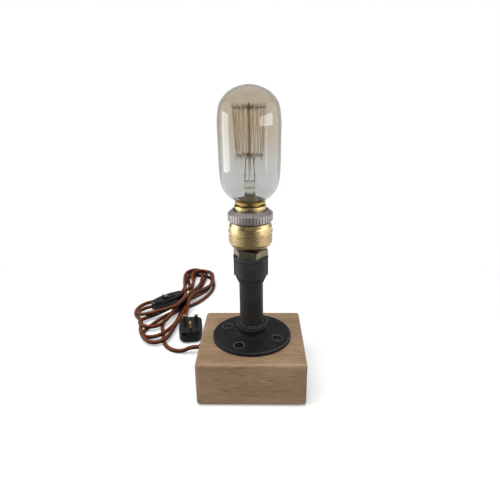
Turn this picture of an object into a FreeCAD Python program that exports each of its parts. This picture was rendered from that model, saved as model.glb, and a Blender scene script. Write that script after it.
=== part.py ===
import FreeCAD, Part
import Sketcher
import math
import os

# Industrial pipe table lamp: a square oak block carries a malleable floor flange, a short
# steel pipe, a coupling with a hexagon bush and a brass bayonet lampholder with a knurled
# shade ring and a tubular squirrel-cage lamp. The lead leaves the block at its rear left,
# lies on the table in a figure-of-eight hank and carries a rocker switch and a plug.
#
# Millimetres. +Z is up, +Y is the lamp's back, and the origin is the centre of the face
# that it stands on.

SIZES = (
    # the block and what is under it
    ("block_side", 95.0),
    ("block_height", 40.8),
    ("block_round", 2.6),
    ("felt_thickness", 1.2),
    ("felt_margin", 3.0),
    ("block_wall", 9.5),
    ("recess_depth", 12.0),
    ("recess_corner", 6.0),
    ("bore_radius", 5.5),
    ("exit_from_back", 12.5),
    ("exit_height", 8.0),
    ("exit_hole_radius", 4.4),
    ("bush_nose", 8.5),
    ("bush_tip_radius", 3.1),
    ("bush_collar_radius", 4.9),
    ("bush_collar", 1.4),
    ("bush_tail", 4.0),
    ("clamp_length", 8.0),
    ("clamp_width", 15.0),
    ("clamp_wall", 2.2),
    ("clamp_place", -25.0),
    ("clamp_screw_offset", 8.6),
    ("clamp_screw_radius", 1.6),
    ("clamp_screw_depth", 8.0),
    # the floor flange and its screws
    ("flange_radius", 36.0),
    ("flange_edge", 3.6),
    ("flange_rise", 1.4),
    ("hub_radius", 14.2),
    ("hub_height", 15.8),
    ("hub_rim", 2.6),
    ("hub_neck_radius", 13.3),
    ("hub_fillet", 3.2),
    ("screw_circle", 25.8),
    ("screw_start", 65.0),
    ("screw_shank_radius", 2.0),
    ("screw_head_radius", 4.2),
    ("screw_head_height", 2.5),
    ("screw_length", 22.0),
    ("screw_slot_width", 1.0),
    ("screw_slot_depth", 0.9),
    # pipe, coupling, bush and nipple
    ("pipe_radius", 10.65),
    ("pipe_wall", 2.65),
    ("thread_fit", 0.05),
    ("pipe_foot", 1.5),
    ("pipe_into_coupling", 12.0),
    ("coupling_foot", 98.5),
    ("coupling_length", 24.5),
    ("coupling_radius", 14.0),
    ("coupling_taper", 5.5),
    ("coupling_end_radius", 11.7),
    ("coupling_rim_radius", 15.4),
    ("coupling_rim", 2.6),
    ("coupling_rib_width", 3.4),
    ("coupling_rib_rise", 1.1),
    ("hex_flats", 26.5),
    ("hex_height", 6.4),
    ("hex_turn", -10.0),
    ("hex_stub", 10.5),
    ("nipple_radius", 5.0),
    ("nipple_bore", 3.4),
    ("nipple_into_bush", 10.0),
    ("nipple_gap", 2.4),
    ("nipple_nut_flats", 13.0),
    ("nipple_nut", 2.4),
    # lampholder
    ("cup_step", 5.2),
    ("cup_height", 13.0),
    ("cup_wall", 2.0),
    ("cup_round", 4.4),
    ("cup_rib_count", 5.0),
    ("cup_rib_pitch", 1.55),
    ("cup_rib_depth", 0.45),
    ("cup_ledge", 4.5),
    ("collar_height", 8.2),
    ("collar_top_step", 3.4),
    ("collar_bead", 0.35),
    ("collar_bead_height", 1.2),
    ("barrel_radius", 13.5),
    ("barrel_wall", 2.3),
    ("barrel_flange", 2.0),
    ("barrel_height", 23.0),
    ("barrel_lip", 3.0),
    ("barrel_groove", 0.5),
    ("insulator_flange", 2.5),
    ("insulator_rise", 6.5),
    ("insulator_drop", 1.5),
    ("plunger_spacing", 8.0),
    ("plunger_radius", 1.9),
    ("plunger_head", 5.0),
    ("plunger_stem_radius", 1.0),
    ("plunger_show", 1.6),
    ("plunger_travel", 1.2),
    ("spring_wire_radius", 0.22),
    ("spring_turns", 4.0),
    ("terminal_place", 8.0),
    ("terminal_radius", 2.1),
    ("terminal_height", 1.4),
    ("bayonet_turn", 15.0),
    ("bayonet_pin_radius", 1.0),
    ("bayonet_pin_height", 14.5),
    ("bayonet_pin_recess", 0.4),
    ("bayonet_clearance", 0.2),
    ("running_fit", 0.05),
    # shade ring
    ("ring_gap", 0.2),
    ("ring_step", 5.7),
    ("ring_foot_step", 2.5),
    ("ring_mouth_step", 1.2),
    ("ring_height", 10.6),
    ("ring_band", 6.4),
    ("ring_foot", 1.2),
    ("ring_seat", 6.0),
    ("knurl_count", 44.0),
    ("knurl_depth", 0.7),
    ("knurl_width", 1.5),
    # lamp
    ("lamp_gap", 0.15),
    ("cap_fit", 0.2),
    ("cap_wall", 0.5),
    ("cap_insulator", 2.2),
    ("cap_rim_step", 1.9),
    ("cap_rim", 1.9),
    ("cap_rim_gap", 1.7),
    ("contact_radius", 2.2),
    ("contact_height", 0.9),
    ("glass_wall", 0.8),
    ("glass_neck_fit", 0.2),
    ("glass_neck_depth", 9.0),
    ("glass_height", 91.0),
    ("glass_radius", 25.6),
    ("stem_radius", 4.2),
    ("stem_height", 15.5),
    ("pinch_height", 5.0),
    ("rod_radius", 1.1),
    ("cage_foot", 37.5),
    ("cage_height", 36.0),
    ("cage_foot_radius", 11.6),
    ("cage_top_radius", 13.8),
    ("cage_hub_radius", 1.9),
    ("cage_hub_height", 3.4),
    ("cage_arm_radius", 0.28),
    ("cage_arm_count", 12.0),
    ("strand_radius", 0.22),
    ("lead_wire_radius", 0.4),
    ("lead_wire_spread", 3.9),
    ("lead_wire_lean", 0.8),
    # lead, switch and plug
    ("cord_radius", 2.2),
    ("hank_height", 16.0),
    ("hank_edge", 4.5),
    ("hank_clearance", 0.4),
    ("switch_length", 46.0),
    ("switch_width", 19.0),
    ("switch_end_width", 11.0),
    ("switch_height", 12.5),
    ("switch_split", 6.0),
    ("switch_wall", 2.0),
    ("switch_edge", 3.0),
    ("switch_corner", 4.2),
    ("switch_turn", 45.0),
    ("rocker_length", 15.0),
    ("rocker_width", 8.4),
    ("rocker_tilt", 9.0),
    ("rocker_rise", 1.6),
    ("rocker_gap", 0.35),
    ("rocker_pin_radius", 0.9),
    ("rocker_pin_drop", 3.6),
    ("switch_screw_radius", 1.1),
    ("switch_screw_head", 1.7),
    ("switch_screw_sink", 1.2),
    ("switch_screw_slot", 0.6),
    ("switch_screw_place", 16.5),
    ("plug_width", 25.5),
    ("plug_length", 37.0),
    ("plug_height", 14.0),
    ("plug_split", 8.5),
    ("plug_corner", 9.0),
    ("plug_edge", 4.0),
    ("plug_face_edge", 1.2),
    ("plug_wall", 2.0),
    ("plug_turn", 8.5),
    ("plug_nose_length", 11.0),
    ("plug_nose_radius", 3.4),
    ("plug_nose_place", -6.5),
    ("pin_spacing", 13.0),
    ("pin_line_place", 7.5),
    ("pin_earth_place", -11.0),
    ("pin_width", 3.8),
    ("pin_thickness", 2.3),
    ("pin_length", 8.0),
    ("earth_extra", 1.0),
    ("pin_root", 4.0),
    ("fuse_radius", 2.0),
    ("fuse_length", 13.0),
    ("plug_screw_radius", 2.2),
    ("plug_screw_place", 0.5),
)

SCREW_COUNT = 4
SWITCH_PLACE = (-110.4, 147.4)
PLUG_PLACE = (-70.0, 72.0)
TINY = 0.02


class Size:
    """A length or angle that knows both its number and its sheet expression."""

    def __init__(self, number, text):
        self.number = number
        self.text = text

    def __add__(self, other):
        return joined(self, "+", other, number_of(self) + number_of(other))

    def __radd__(self, other):
        return joined(other, "+", self, number_of(other) + number_of(self))

    def __sub__(self, other):
        return joined(self, "-", other, number_of(self) - number_of(other))

    def __rsub__(self, other):
        return joined(other, "-", self, number_of(other) - number_of(self))

    def __mul__(self, other):
        return joined(self, "*", other, number_of(self) * number_of(other))

    def __rmul__(self, other):
        return joined(other, "*", self, number_of(other) * number_of(self))

    def __truediv__(self, other):
        return joined(self, "/", other, number_of(self) / number_of(other))

    def __neg__(self):
        return Size(-self.number, "(-1 * %s)" % self.text)


def number_of(size):
    """The plain number of a Size or of a number."""
    return size.number if isinstance(size, Size) else float(size)


def text_of(size):
    """The sheet expression of a Size or of a number."""
    return size.text if isinstance(size, Size) else "%.6f" % size


def joined(left, sign, right, number):
    """The Size that two others make."""
    return Size(number, "(%s %s %s)" % (text_of(left), sign, text_of(right)))


doc = FreeCAD.newDocument("pipe_lamp")
sheet = doc.addObject("Spreadsheet::Sheet", "Sizes")
for row, (alias, number) in enumerate(SIZES, start=1):
    sheet.set("A%d" % row, alias)
    sheet.set("B%d" % row, str(number))
    sheet.setAlias("B%d" % row, alias)
doc.recompute()


class Sheet:
    """Reads each alias of the sheet as a Size."""

    def __getattr__(self, alias):
        return Size(float(doc.getObject("Sizes").get(alias)), "Sizes." + alias)


s = Sheet()


# ---------------------------------------------------------------- modelling helpers

def bind(feature, path, size):
    """Sets a property or constraint from the sheet."""
    if isinstance(size, Size):
        feature.setExpression(path, size.text)
    else:
        setattr(feature, path, size)


def new_body(label, place=None):
    body = doc.addObject("PartDesign::Body", label)
    body.Label = label
    if place:
        body.Placement = place
    return body


def origin_feature(body, role):
    return next(f for f in body.Origin.OriginFeatures if f.Role == role)


def new_sketch(body, plane, height=None):
    """A sketch on one of the body's own origin planes, lifted by height along its normal."""
    sketch = body.newObject("Sketcher::SketchObject", body.Label + "_sketch")
    sketch.AttachmentSupport = [(origin_feature(body, plane), "")]
    sketch.MapMode = "FlatFace"
    if height is not None:
        sketch.AttachmentOffset = FreeCAD.Placement(
            FreeCAD.Vector(0, 0, number_of(height)), FreeCAD.Rotation())
        if isinstance(height, Size):
            sketch.setExpression("AttachmentOffset.Base.z", height.text)
    return sketch


def pin_point(sketch, line, position, point):
    """Holds one sketch point at its two sheet sizes."""
    for kind, size in zip(("DistanceX", "DistanceY"), point):
        index = sketch.addConstraint(
            Sketcher.Constraint(kind, -1, 1, line, position, number_of(size)))
        if isinstance(size, Size):
            sketch.setExpression("Constraints[%d]" % index, size.text)


def draw_polygon(sketch, points):
    """A closed outline of straight lines through the points."""
    first = sketch.GeometryCount
    flat = [FreeCAD.Vector(number_of(x), number_of(y), 0) for x, y in points]
    count = len(flat)
    for i in range(count):
        sketch.addGeometry(Part.LineSegment(flat[i], flat[(i + 1) % count]), False)
    for i in range(count):
        sketch.addConstraint(
            Sketcher.Constraint("Coincident", first + i, 2, first + (i + 1) % count, 1))
        pin_point(sketch, first + i, 1, points[i])


def draw_circle(sketch, centre, radius):
    """A circle whose centre and radius come from the sheet."""
    middle = FreeCAD.Vector(number_of(centre[0]), number_of(centre[1]), 0)
    circle = sketch.addGeometry(
        Part.Circle(middle, FreeCAD.Vector(0, 0, 1), number_of(radius)), False)
    pin_point(sketch, circle, 3, centre)
    index = sketch.addConstraint(Sketcher.Constraint("Radius", circle, number_of(radius)))
    if isinstance(radius, Size):
        sketch.setExpression("Constraints[%d]" % index, radius.text)


def draw_box(sketch, centre, width, depth):
    x, y = centre
    draw_polygon(sketch, [(x - width / 2, y - depth / 2), (x + width / 2, y - depth / 2),
                          (x + width / 2, y + depth / 2), (x - width / 2, y + depth / 2)])


def revolve(body, profile, cut=False, angle=None):
    """Turns a profile of (radius, height) points about Z, to add or to cut."""
    sketch = new_sketch(body, "XZ_Plane")
    draw_polygon(sketch, profile)
    kind = "PartDesign::Groove" if cut else "PartDesign::Revolution"
    feature = body.newObject(kind, body.Label + "_turn")
    feature.Profile = sketch
    feature.ReferenceAxis = (sketch, ["V_Axis"])
    feature.Angle = 360
    if angle is not None:
        bind(feature, "Angle", angle)
    doc.recompute()
    return feature


def pad(body, sketch, length, midplane=False):
    feature = body.newObject("PartDesign::Pad", body.Label + "_pad")
    feature.Profile = sketch
    feature.Midplane = midplane
    bind(feature, "Length", length)
    doc.recompute()
    return feature


def pocket(body, sketch, depth, up=True):
    """Cuts the sketch out over depth, upwards from its plane, or downwards."""
    before = body.Shape.Volume
    feature = body.newObject("PartDesign::Pocket", body.Label + "_pocket")
    feature.Profile = sketch
    feature.Reversed = up
    bind(feature, "Length", depth)
    doc.recompute()
    if not body.Shape.Volume < before - 1e-6:
        raise RuntimeError("%s: a pocket cuts nothing" % body.Label)
    return feature


def repeat(body, features, count):
    """Repeats the features round the body's Z axis."""
    pattern = body.newObject("PartDesign::PolarPattern", body.Label + "_pattern")
    pattern.Originals = features
    pattern.Axis = (origin_feature(body, "Z_Axis"), [""])
    pattern.Angle = 360
    bind(pattern, "Occurrences", count)
    body.Tip = pattern
    doc.recompute()
    return pattern


def chosen_edges(shape, wanted):
    """Names of the edges for which wanted(edge) holds."""
    return ["Edge%d" % (i + 1) for i, edge in enumerate(shape.Edges) if wanted(edge)]


def dress(body, kind, wanted, size):
    """Rounds or chamfers the body's edges that are wanted."""
    base = body.Tip
    names = chosen_edges(base.Shape, wanted)
    if not names:
        raise RuntimeError("%s: no edge to dress" % body.Label)
    feature = body.newObject("PartDesign::" + kind, body.Label + "_" + kind.lower())
    feature.Base = (base, names)
    bind(feature, "Radius" if kind == "Fillet" else "Size", size)
    doc.recompute()
    return feature


def ring_edge(radius, height):
    """A test for the circular edge of that radius and height."""
    def wanted(edge):
        curve = edge.Curve
        return (isinstance(curve, Part.Circle)
                and abs(curve.Radius - number_of(radius)) < TINY
                and abs(curve.Center.z - number_of(height)) < TINY)
    return wanted


def flat_edge(height):
    """A test for the edges that lie level at that height."""
    def wanted(edge):
        box = edge.BoundBox
        return abs(box.ZMin - number_of(height)) < TINY and abs(box.ZMax - number_of(height)) < TINY
    return wanted


def upright_edge(edge):
    """A test for the edges that stand straight up."""
    box = edge.BoundBox
    return box.ZLength > 0.5 and box.XLength < TINY and box.YLength < TINY


def either(*tests):
    return lambda edge: any(test(edge) for test in tests)


def plain_feature(label, shape, place=None):
    """A Part::Feature for a shape that is worked out below."""
    feature = doc.addObject("Part::Feature", label)
    feature.Label = label
    feature.Shape = shape
    if place:
        feature.Placement = place
    return feature


def cylinder(start, end, radius):
    """A plain round bar between two points."""
    a, b = FreeCAD.Vector(*start), FreeCAD.Vector(*end)
    return Part.makeCylinder(radius, (b - a).Length, a, b - a)


def turned(shape, angle):
    copy = shape.copy()
    copy.rotate(FreeCAD.Vector(), FreeCAD.Vector(0, 0, 1), angle)
    return copy


def tube_path(points):
    """Straight runs joined by tangent arcs, each as large as its two runs allow."""
    nodes = [FreeCAD.Vector(*p) for p in points]
    edges, radii, start = [], [], nodes[0]
    for before, corner, after in zip(nodes, nodes[1:], nodes[2:]):
        incoming, outgoing = (corner - before), (after - corner)
        short = min(incoming.Length, outgoing.Length)
        turn = incoming.getAngle(outgoing)
        radius = 0.45 * short / math.tan(turn / 2)
        incoming.normalize()
        outgoing.normalize()
        reach = radius * math.tan(turn / 2)
        arc_start, arc_end = corner - incoming * reach, corner + outgoing * reach
        inward = (outgoing - incoming).normalize()
        middle = corner + inward * (radius / math.cos(turn / 2) - radius)
        edges.append(Part.LineSegment(start, arc_start).toShape())
        edges.append(Part.Arc(arc_start, middle, arc_end).toShape())
        start = arc_end
        radii.append(round(radius, 1))
    edges.append(Part.LineSegment(start, nodes[-1]).toShape())
    return Part.Wire(edges), radii


def cord_solid(label, points, radius):
    """A round cord along a route, checked against its section times its length."""
    path, radii = tube_path(points)
    first = FreeCAD.Vector(*points[0])
    heading = FreeCAD.Vector(*points[1]) - first
    section = Part.Wire(Part.makeCircle(radius, first, heading))
    solid = path.makePipeShell([section], True, False)
    expected = math.pi * radius ** 2 * path.Length
    if abs(solid.Volume / expected - 1) > 0.01:
        raise RuntimeError("%s: the cord's volume is wrong" % label)
    print("%s: length %.0f, radii %s" % (label, path.Length, radii))
    return plain_feature(label, solid)


# ---------------------------------------------------------------- radii and heights that pieces share

recess_side = s.block_side - s.block_wall * 2
exit_offset = s.block_side / 2 - s.exit_from_back
cup_radius = s.barrel_radius + s.cup_step
collar_top_radius = s.barrel_radius + s.collar_top_step
barrel_bore = s.barrel_radius - s.barrel_wall
pin_reach = s.barrel_radius - s.bayonet_pin_recess
ring_radius = s.barrel_radius + s.ring_step
ring_foot_radius = s.barrel_radius + s.ring_foot_step
ring_mouth_radius = s.barrel_radius + s.ring_mouth_step
cap_radius = barrel_bore - s.cap_fit
cap_rim_radius = cap_radius + s.cap_rim_step
glass_neck_radius = cap_radius - s.cap_wall - s.glass_neck_fit

block_top = s.felt_thickness + s.block_height
recess_top = s.felt_thickness + s.recess_depth
flange_top = block_top + s.flange_edge
hub_top = block_top + s.hub_height
coupling_top = s.coupling_foot + s.coupling_length
hex_top = coupling_top + s.hex_height
cup_foot = hex_top + s.nipple_gap
cup_top = cup_foot + s.cup_height
collar_top = cup_top + s.collar_height
barrel_foot = cup_top - s.barrel_flange
barrel_top = barrel_foot + s.barrel_height + s.barrel_flange
insulator_foot = cup_top - s.barrel_flange - s.insulator_flange
insulator_top = cup_top + s.insulator_rise
plunger_top = insulator_top + s.plunger_show
contact_foot = plunger_top + s.lamp_gap
cap_foot = contact_foot + s.contact_height
bayonet_height = cup_top + s.bayonet_pin_height
rim_foot = barrel_top + s.cap_rim_gap
rim_top = rim_foot + s.cap_rim
glass_top = rim_top + s.glass_height
switch_screw_offset = s.switch_width * 0.27


# ---------------------------------------------------------------- block and base

def wood_block():
    """Oak block: rounded edges, hollow underside, pipe bore and the lead's side hole."""
    body = new_body("wood_block")
    outline = new_sketch(body, "XY_Plane", s.felt_thickness)
    draw_box(outline, (0, 0), s.block_side, s.block_side)
    pad(body, outline, s.block_height)
    dress(body, "Fillet", lambda edge: True, s.block_round)
    recess = new_sketch(body, "XY_Plane", s.felt_thickness)
    draw_box(recess, (0, 0), recess_side, recess_side)
    pocket(body, recess, s.recess_depth)
    half = number_of(recess_side) / 2

    def recess_corner(edge):
        box = edge.BoundBox
        return upright_edge(edge) and abs(abs(box.XMin) - half) < TINY and abs(abs(box.YMin) - half) < TINY

    dress(body, "Fillet", recess_corner, s.recess_corner)
    bore = new_sketch(body, "XY_Plane", s.felt_thickness)
    draw_circle(bore, (0, 0), s.bore_radius)
    pocket(body, bore, s.block_height + 1.0)
    inside = recess_side / 2 - s.recess_corner
    side = new_sketch(body, "YZ_Plane", -inside)
    draw_circle(side, (exit_offset, s.exit_height), s.exit_hole_radius)
    pocket(body, side, s.block_side / 2 - inside + 1.0, up=False)
    pilot = new_sketch(body, "XY_Plane", recess_top)
    draw_circle(pilot, (s.clamp_place, exit_offset - s.clamp_screw_offset), s.clamp_screw_radius)
    pocket(body, pilot, s.clamp_screw_depth)
    return cut_screw_holes(body)


def cut_screw_holes(body):
    """Pilot holes for the flange screws, as deep as the screws reach."""
    angle = math.radians(number_of(s.screw_start))
    sketch = new_sketch(body, "XY_Plane", block_top)
    centre = (s.screw_circle * math.cos(angle), s.screw_circle * math.sin(angle))
    draw_circle(sketch, centre, s.screw_shank_radius)
    hole = pocket(body, sketch, s.screw_length - s.flange_edge, up=False)
    repeat(body, [hole], SCREW_COUNT)
    return body


def felt_pad():
    """Felt sheet under the block, which closes its hollow."""
    body = new_body("felt_pad")
    sketch = new_sketch(body, "XY_Plane")
    side = s.block_side - s.felt_margin * 2
    draw_box(sketch, (0, 0), side, side)
    pad(body, sketch, s.felt_thickness)
    dress(body, "Fillet", upright_edge, s.block_round)
    return body


def cable_bush():
    """Tapered rubber bush pressed into the side hole; the lead leaves through it."""
    wall_outside = s.block_side / 2
    wall_inside = recess_side / 2
    place = FreeCAD.Placement(
        FreeCAD.Vector(0, number_of(exit_offset), number_of(s.exit_height)),
        FreeCAD.Rotation(FreeCAD.Vector(0, 1, 0), -90))
    body = new_body("cable_bush", place)
    body.setExpression("Placement.Base.y", exit_offset.text)
    body.setExpression("Placement.Base.z", s.exit_height.text)
    bore = s.cord_radius + s.running_fit
    revolve(body, [
        (bore, wall_inside - s.bush_tail), (s.bush_tip_radius + 0.4, wall_inside - s.bush_tail),
        (s.exit_hole_radius, wall_inside), (s.exit_hole_radius, wall_outside),
        (s.bush_collar_radius, wall_outside),
        (s.bush_collar_radius - 0.3, wall_outside + s.bush_collar),
        (s.bush_tip_radius, wall_outside + s.bush_nose), (bore, wall_outside + s.bush_nose)])
    return body


def clamp_foot():
    return s.exit_height - s.cord_radius - s.clamp_wall


def cord_clamp():
    """Moulded block on the hollow's ceiling that holds the lead against a pull."""
    body = new_body("cord_clamp")
    outline = new_sketch(body, "XY_Plane", clamp_foot())
    middle = exit_offset + s.cord_radius + 0.4 - s.clamp_width / 2
    draw_box(outline, (s.clamp_place, middle), s.clamp_length, s.clamp_width)
    pad(body, outline, recess_top - clamp_foot())
    dress(body, "Fillet", upright_edge, 1.0)
    hole = new_sketch(body, "YZ_Plane")
    draw_circle(hole, (exit_offset, s.exit_height), s.cord_radius + s.running_fit)
    pocket(body, hole, s.block_side, up=False)
    screw = new_sketch(body, "XY_Plane", clamp_foot())
    draw_circle(screw, (s.clamp_place, exit_offset - s.clamp_screw_offset),
                s.clamp_screw_radius)
    pocket(body, screw, recess_top)
    return body


def clamp_screw():
    """Round-head screw that fixes the clamp to the block."""
    across = exit_offset - s.clamp_screw_offset
    place = FreeCAD.Placement(FreeCAD.Vector(number_of(s.clamp_place), number_of(across), 0),
                              FreeCAD.Rotation())
    body = new_body("clamp_screw", place)
    body.setExpression("Placement.Base.x", s.clamp_place.text)
    body.setExpression("Placement.Base.y", across.text)
    foot = clamp_foot()
    revolve(body, [
        (0, foot - 1.4), (s.clamp_screw_radius + 0.6, foot - 1.4),
        (s.clamp_screw_radius + 1.2, foot), (s.clamp_screw_radius, foot),
        (s.clamp_screw_radius, recess_top + s.clamp_screw_depth - 2.0),
        (0, recess_top + s.clamp_screw_depth)])
    return body


# ---------------------------------------------------------------- pipe work

def floor_flange():
    """Malleable floor flange: a thin disc that rises to a beaded hub, with four holes."""
    body = new_body("floor_flange")
    bore = s.pipe_radius + s.thread_fit
    neck_foot = flange_top + s.flange_rise
    revolve(body, [
        (bore, block_top), (s.flange_radius, block_top), (s.flange_radius, flange_top),
        (s.hub_neck_radius + s.hub_fillet, neck_foot), (s.hub_neck_radius, neck_foot),
        (s.hub_neck_radius, hub_top - s.hub_rim - 1.0), (s.hub_radius, hub_top - s.hub_rim),
        (s.hub_radius, hub_top), (bore, hub_top)])
    dress(body, "Fillet", ring_edge(s.hub_neck_radius, neck_foot), s.hub_fillet * 0.9)
    dress(body, "Fillet", ring_edge(s.hub_radius, hub_top), s.hub_rim * 0.45)
    dress(body, "Fillet", ring_edge(s.flange_radius, flange_top), s.flange_edge * 0.3)
    angle = math.radians(number_of(s.screw_start))
    x, y = s.screw_circle * math.cos(angle), s.screw_circle * math.sin(angle)
    shank = new_sketch(body, "XY_Plane", block_top - 1.0)
    draw_circle(shank, (x, y), s.screw_shank_radius + 0.4)
    through = pocket(body, shank, s.hub_height)
    seat = new_sketch(body, "XY_Plane", flange_top - s.screw_head_height + 0.2)
    draw_circle(seat, (x, y), s.screw_head_radius + 0.3)
    sunk = pocket(body, seat, s.hub_height)
    repeat(body, [through, sunk], SCREW_COUNT)
    return body


def flange_screws():
    """Four blackened wood screws with cross slots, one solid each."""
    head = number_of(s.screw_head_radius)
    shank = number_of(s.screw_shank_radius)
    low = number_of(flange_top - s.screw_head_height + 0.2)
    high = low + number_of(s.screw_head_height)
    tip = number_of(flange_top - s.screw_length)
    edge = 0.5
    outline = [(0, tip), (shank, tip + 3), (shank, low), (head, low), (head, high - edge),
               (head - 2 * edge, high), (0, high)]
    wire = Part.makePolygon([FreeCAD.Vector(r, 0, z) for r, z in outline + outline[:1]])
    screw = Part.Face(wire).revolve(FreeCAD.Vector(), FreeCAD.Vector(0, 0, 1), 360)
    width, depth = number_of(s.screw_slot_width), number_of(s.screw_slot_depth)
    for turn in (20, 110):
        slot = Part.makeBox(head * 1.5, width, depth + 1,
                            FreeCAD.Vector(-head * 0.75, -width / 2, high - depth))
        screw = screw.cut(turned(slot, turn))
    screw.translate(FreeCAD.Vector(number_of(s.screw_circle), 0, 0))
    start = number_of(s.screw_start)
    ring = [turned(screw, start + i * 360 / SCREW_COUNT) for i in range(SCREW_COUNT)]
    return plain_feature("flange_screws", Part.makeCompound(ring))


def pipe():
    """Half-inch black pipe from the flange to the coupling."""
    body = new_body("pipe")
    bore = s.pipe_radius - s.pipe_wall
    foot = block_top + s.pipe_foot
    top = s.coupling_foot + s.pipe_into_coupling
    revolve(body, [(bore, foot), (s.pipe_radius, foot), (s.pipe_radius, top), (bore, top)])
    dress(body, "Chamfer", either(ring_edge(s.pipe_radius, top), ring_edge(s.pipe_radius, foot)),
          s.pipe_wall * 0.3)
    return body


def coupling():
    """Malleable coupling: beaded mouth, tapered foot and two cast ribs."""
    body = new_body("coupling")
    bore = s.pipe_radius + s.thread_fit
    foot = s.coupling_foot
    revolve(body, [
        (bore, foot), (s.coupling_end_radius, foot),
        (s.coupling_radius, foot + s.coupling_taper),
        (s.coupling_radius, coupling_top - s.coupling_rim - 2.0),
        (s.coupling_rim_radius, coupling_top - s.coupling_rim),
        (s.coupling_rim_radius, coupling_top), (bore, coupling_top)])
    dress(body, "Fillet", ring_edge(s.coupling_rim_radius, coupling_top), s.coupling_rim * 0.4)
    dress(body, "Fillet", ring_edge(s.coupling_radius, foot + s.coupling_taper), 2.5)
    rib = new_sketch(body, "XY_Plane", foot + s.coupling_taper)
    reach = s.coupling_radius + s.coupling_rib_rise
    draw_polygon(rib, [
        (s.coupling_end_radius, -s.coupling_rib_width / 2),
        (reach, -s.coupling_rib_width / 4), (reach, s.coupling_rib_width / 4),
        (s.coupling_end_radius, s.coupling_rib_width / 2)])
    ridge = pad(body, rib, s.coupling_length - s.coupling_taper - s.coupling_rim)
    repeat(body, [ridge], 2)
    return body


def hexagon(flats, turn):
    """Corner points of a hexagon across its flats, turned about Z."""
    corner = flats / math.sqrt(3)
    angles = [math.radians(number_of(turn) + 60 * i) for i in range(6)]
    return [(corner * math.cos(a), corner * math.sin(a)) for a in angles]


def hex_bush():
    """Nickel-plated reducing bush: hexagon, male stub and the nipple's thread."""
    body = new_body("hex_bush")
    sketch = new_sketch(body, "XY_Plane", coupling_top)
    draw_polygon(sketch, hexagon(s.hex_flats, s.hex_turn))
    pad(body, sketch, s.hex_height)
    stub = new_sketch(body, "XY_Plane", coupling_top - s.hex_stub)
    draw_circle(stub, (0, 0), s.pipe_radius)
    pad(body, stub, s.hex_stub)
    bore = new_sketch(body, "XY_Plane", coupling_top - s.hex_stub)
    draw_circle(bore, (0, 0), s.nipple_radius + s.thread_fit)
    pocket(body, bore, s.hex_stub + s.hex_height)
    corner = s.hex_flats * 0.62
    revolve(body, [(s.hex_flats * 0.49, hex_top), (corner, hex_top),
                   (corner, hex_top - s.hex_height * 0.34)], cut=True)
    return body


def nipple():
    """All-thread tube from the bush into the lampholder; the lead runs through it."""
    body = new_body("nipple")
    foot = hex_top - s.nipple_into_bush
    top = cup_foot + s.cup_wall + s.nipple_nut + 0.4
    revolve(body, [(s.nipple_bore, foot), (s.nipple_radius, foot), (s.nipple_radius, top),
                   (s.nipple_bore, top)])
    return body


def nipple_nut():
    """Thin nut inside the cup that clamps it to the nipple."""
    body = new_body("nipple_nut")
    sketch = new_sketch(body, "XY_Plane", cup_foot + s.cup_wall)
    draw_polygon(sketch, hexagon(s.nipple_nut_flats, s.hex_turn))
    draw_circle(sketch, (0, 0), s.nipple_radius + s.thread_fit)
    pad(body, sketch, s.nipple_nut)
    return body


# ---------------------------------------------------------------- lampholder

def holder_cup():
    """Brass cup with turned grip ribs, a round foot and a ledge for the insulator."""
    body = new_body("holder_cup")
    inner = cup_radius - s.cup_wall
    ledge = insulator_foot
    revolve(body, [
        (s.nipple_radius + s.thread_fit, cup_foot), (cup_radius, cup_foot),
        (cup_radius, cup_top), (inner, cup_top), (inner, ledge), (inner - 2.2, ledge),
        (inner - 2.2, cup_foot + s.cup_wall), (s.nipple_radius + s.thread_fit, cup_foot + s.cup_wall)])
    dress(body, "Fillet", ring_edge(cup_radius, cup_foot), s.cup_round)
    for i in range(int(number_of(s.cup_rib_count))):
        middle = cup_top - s.cup_rib_pitch * (i + 0.9)
        revolve(body, [
            (cup_radius - s.cup_rib_depth, middle), (cup_radius + 0.1, middle - s.cup_rib_pitch * 0.3),
            (cup_radius + 0.1, middle + s.cup_rib_pitch * 0.3)], cut=True)
    return body


def holder_collar():
    """Domed brass collar, beaded at its foot, that screws the barrel down on the cup."""
    body = new_body("holder_collar")
    revolve(body, [
        (s.barrel_radius + s.thread_fit, cup_top), (cup_radius + s.collar_bead, cup_top),
        (cup_radius + s.collar_bead, cup_top + s.collar_bead_height),
        (cup_radius - 0.1, cup_top + s.collar_bead_height),
        (cup_radius - 0.4, cup_top + s.collar_height * 0.6),
        (collar_top_radius, collar_top), (s.barrel_radius + s.thread_fit, collar_top)])
    dress(body, "Fillet", ring_edge(cup_radius - 0.4, cup_top + s.collar_height * 0.6), 2.0)
    return body


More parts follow.
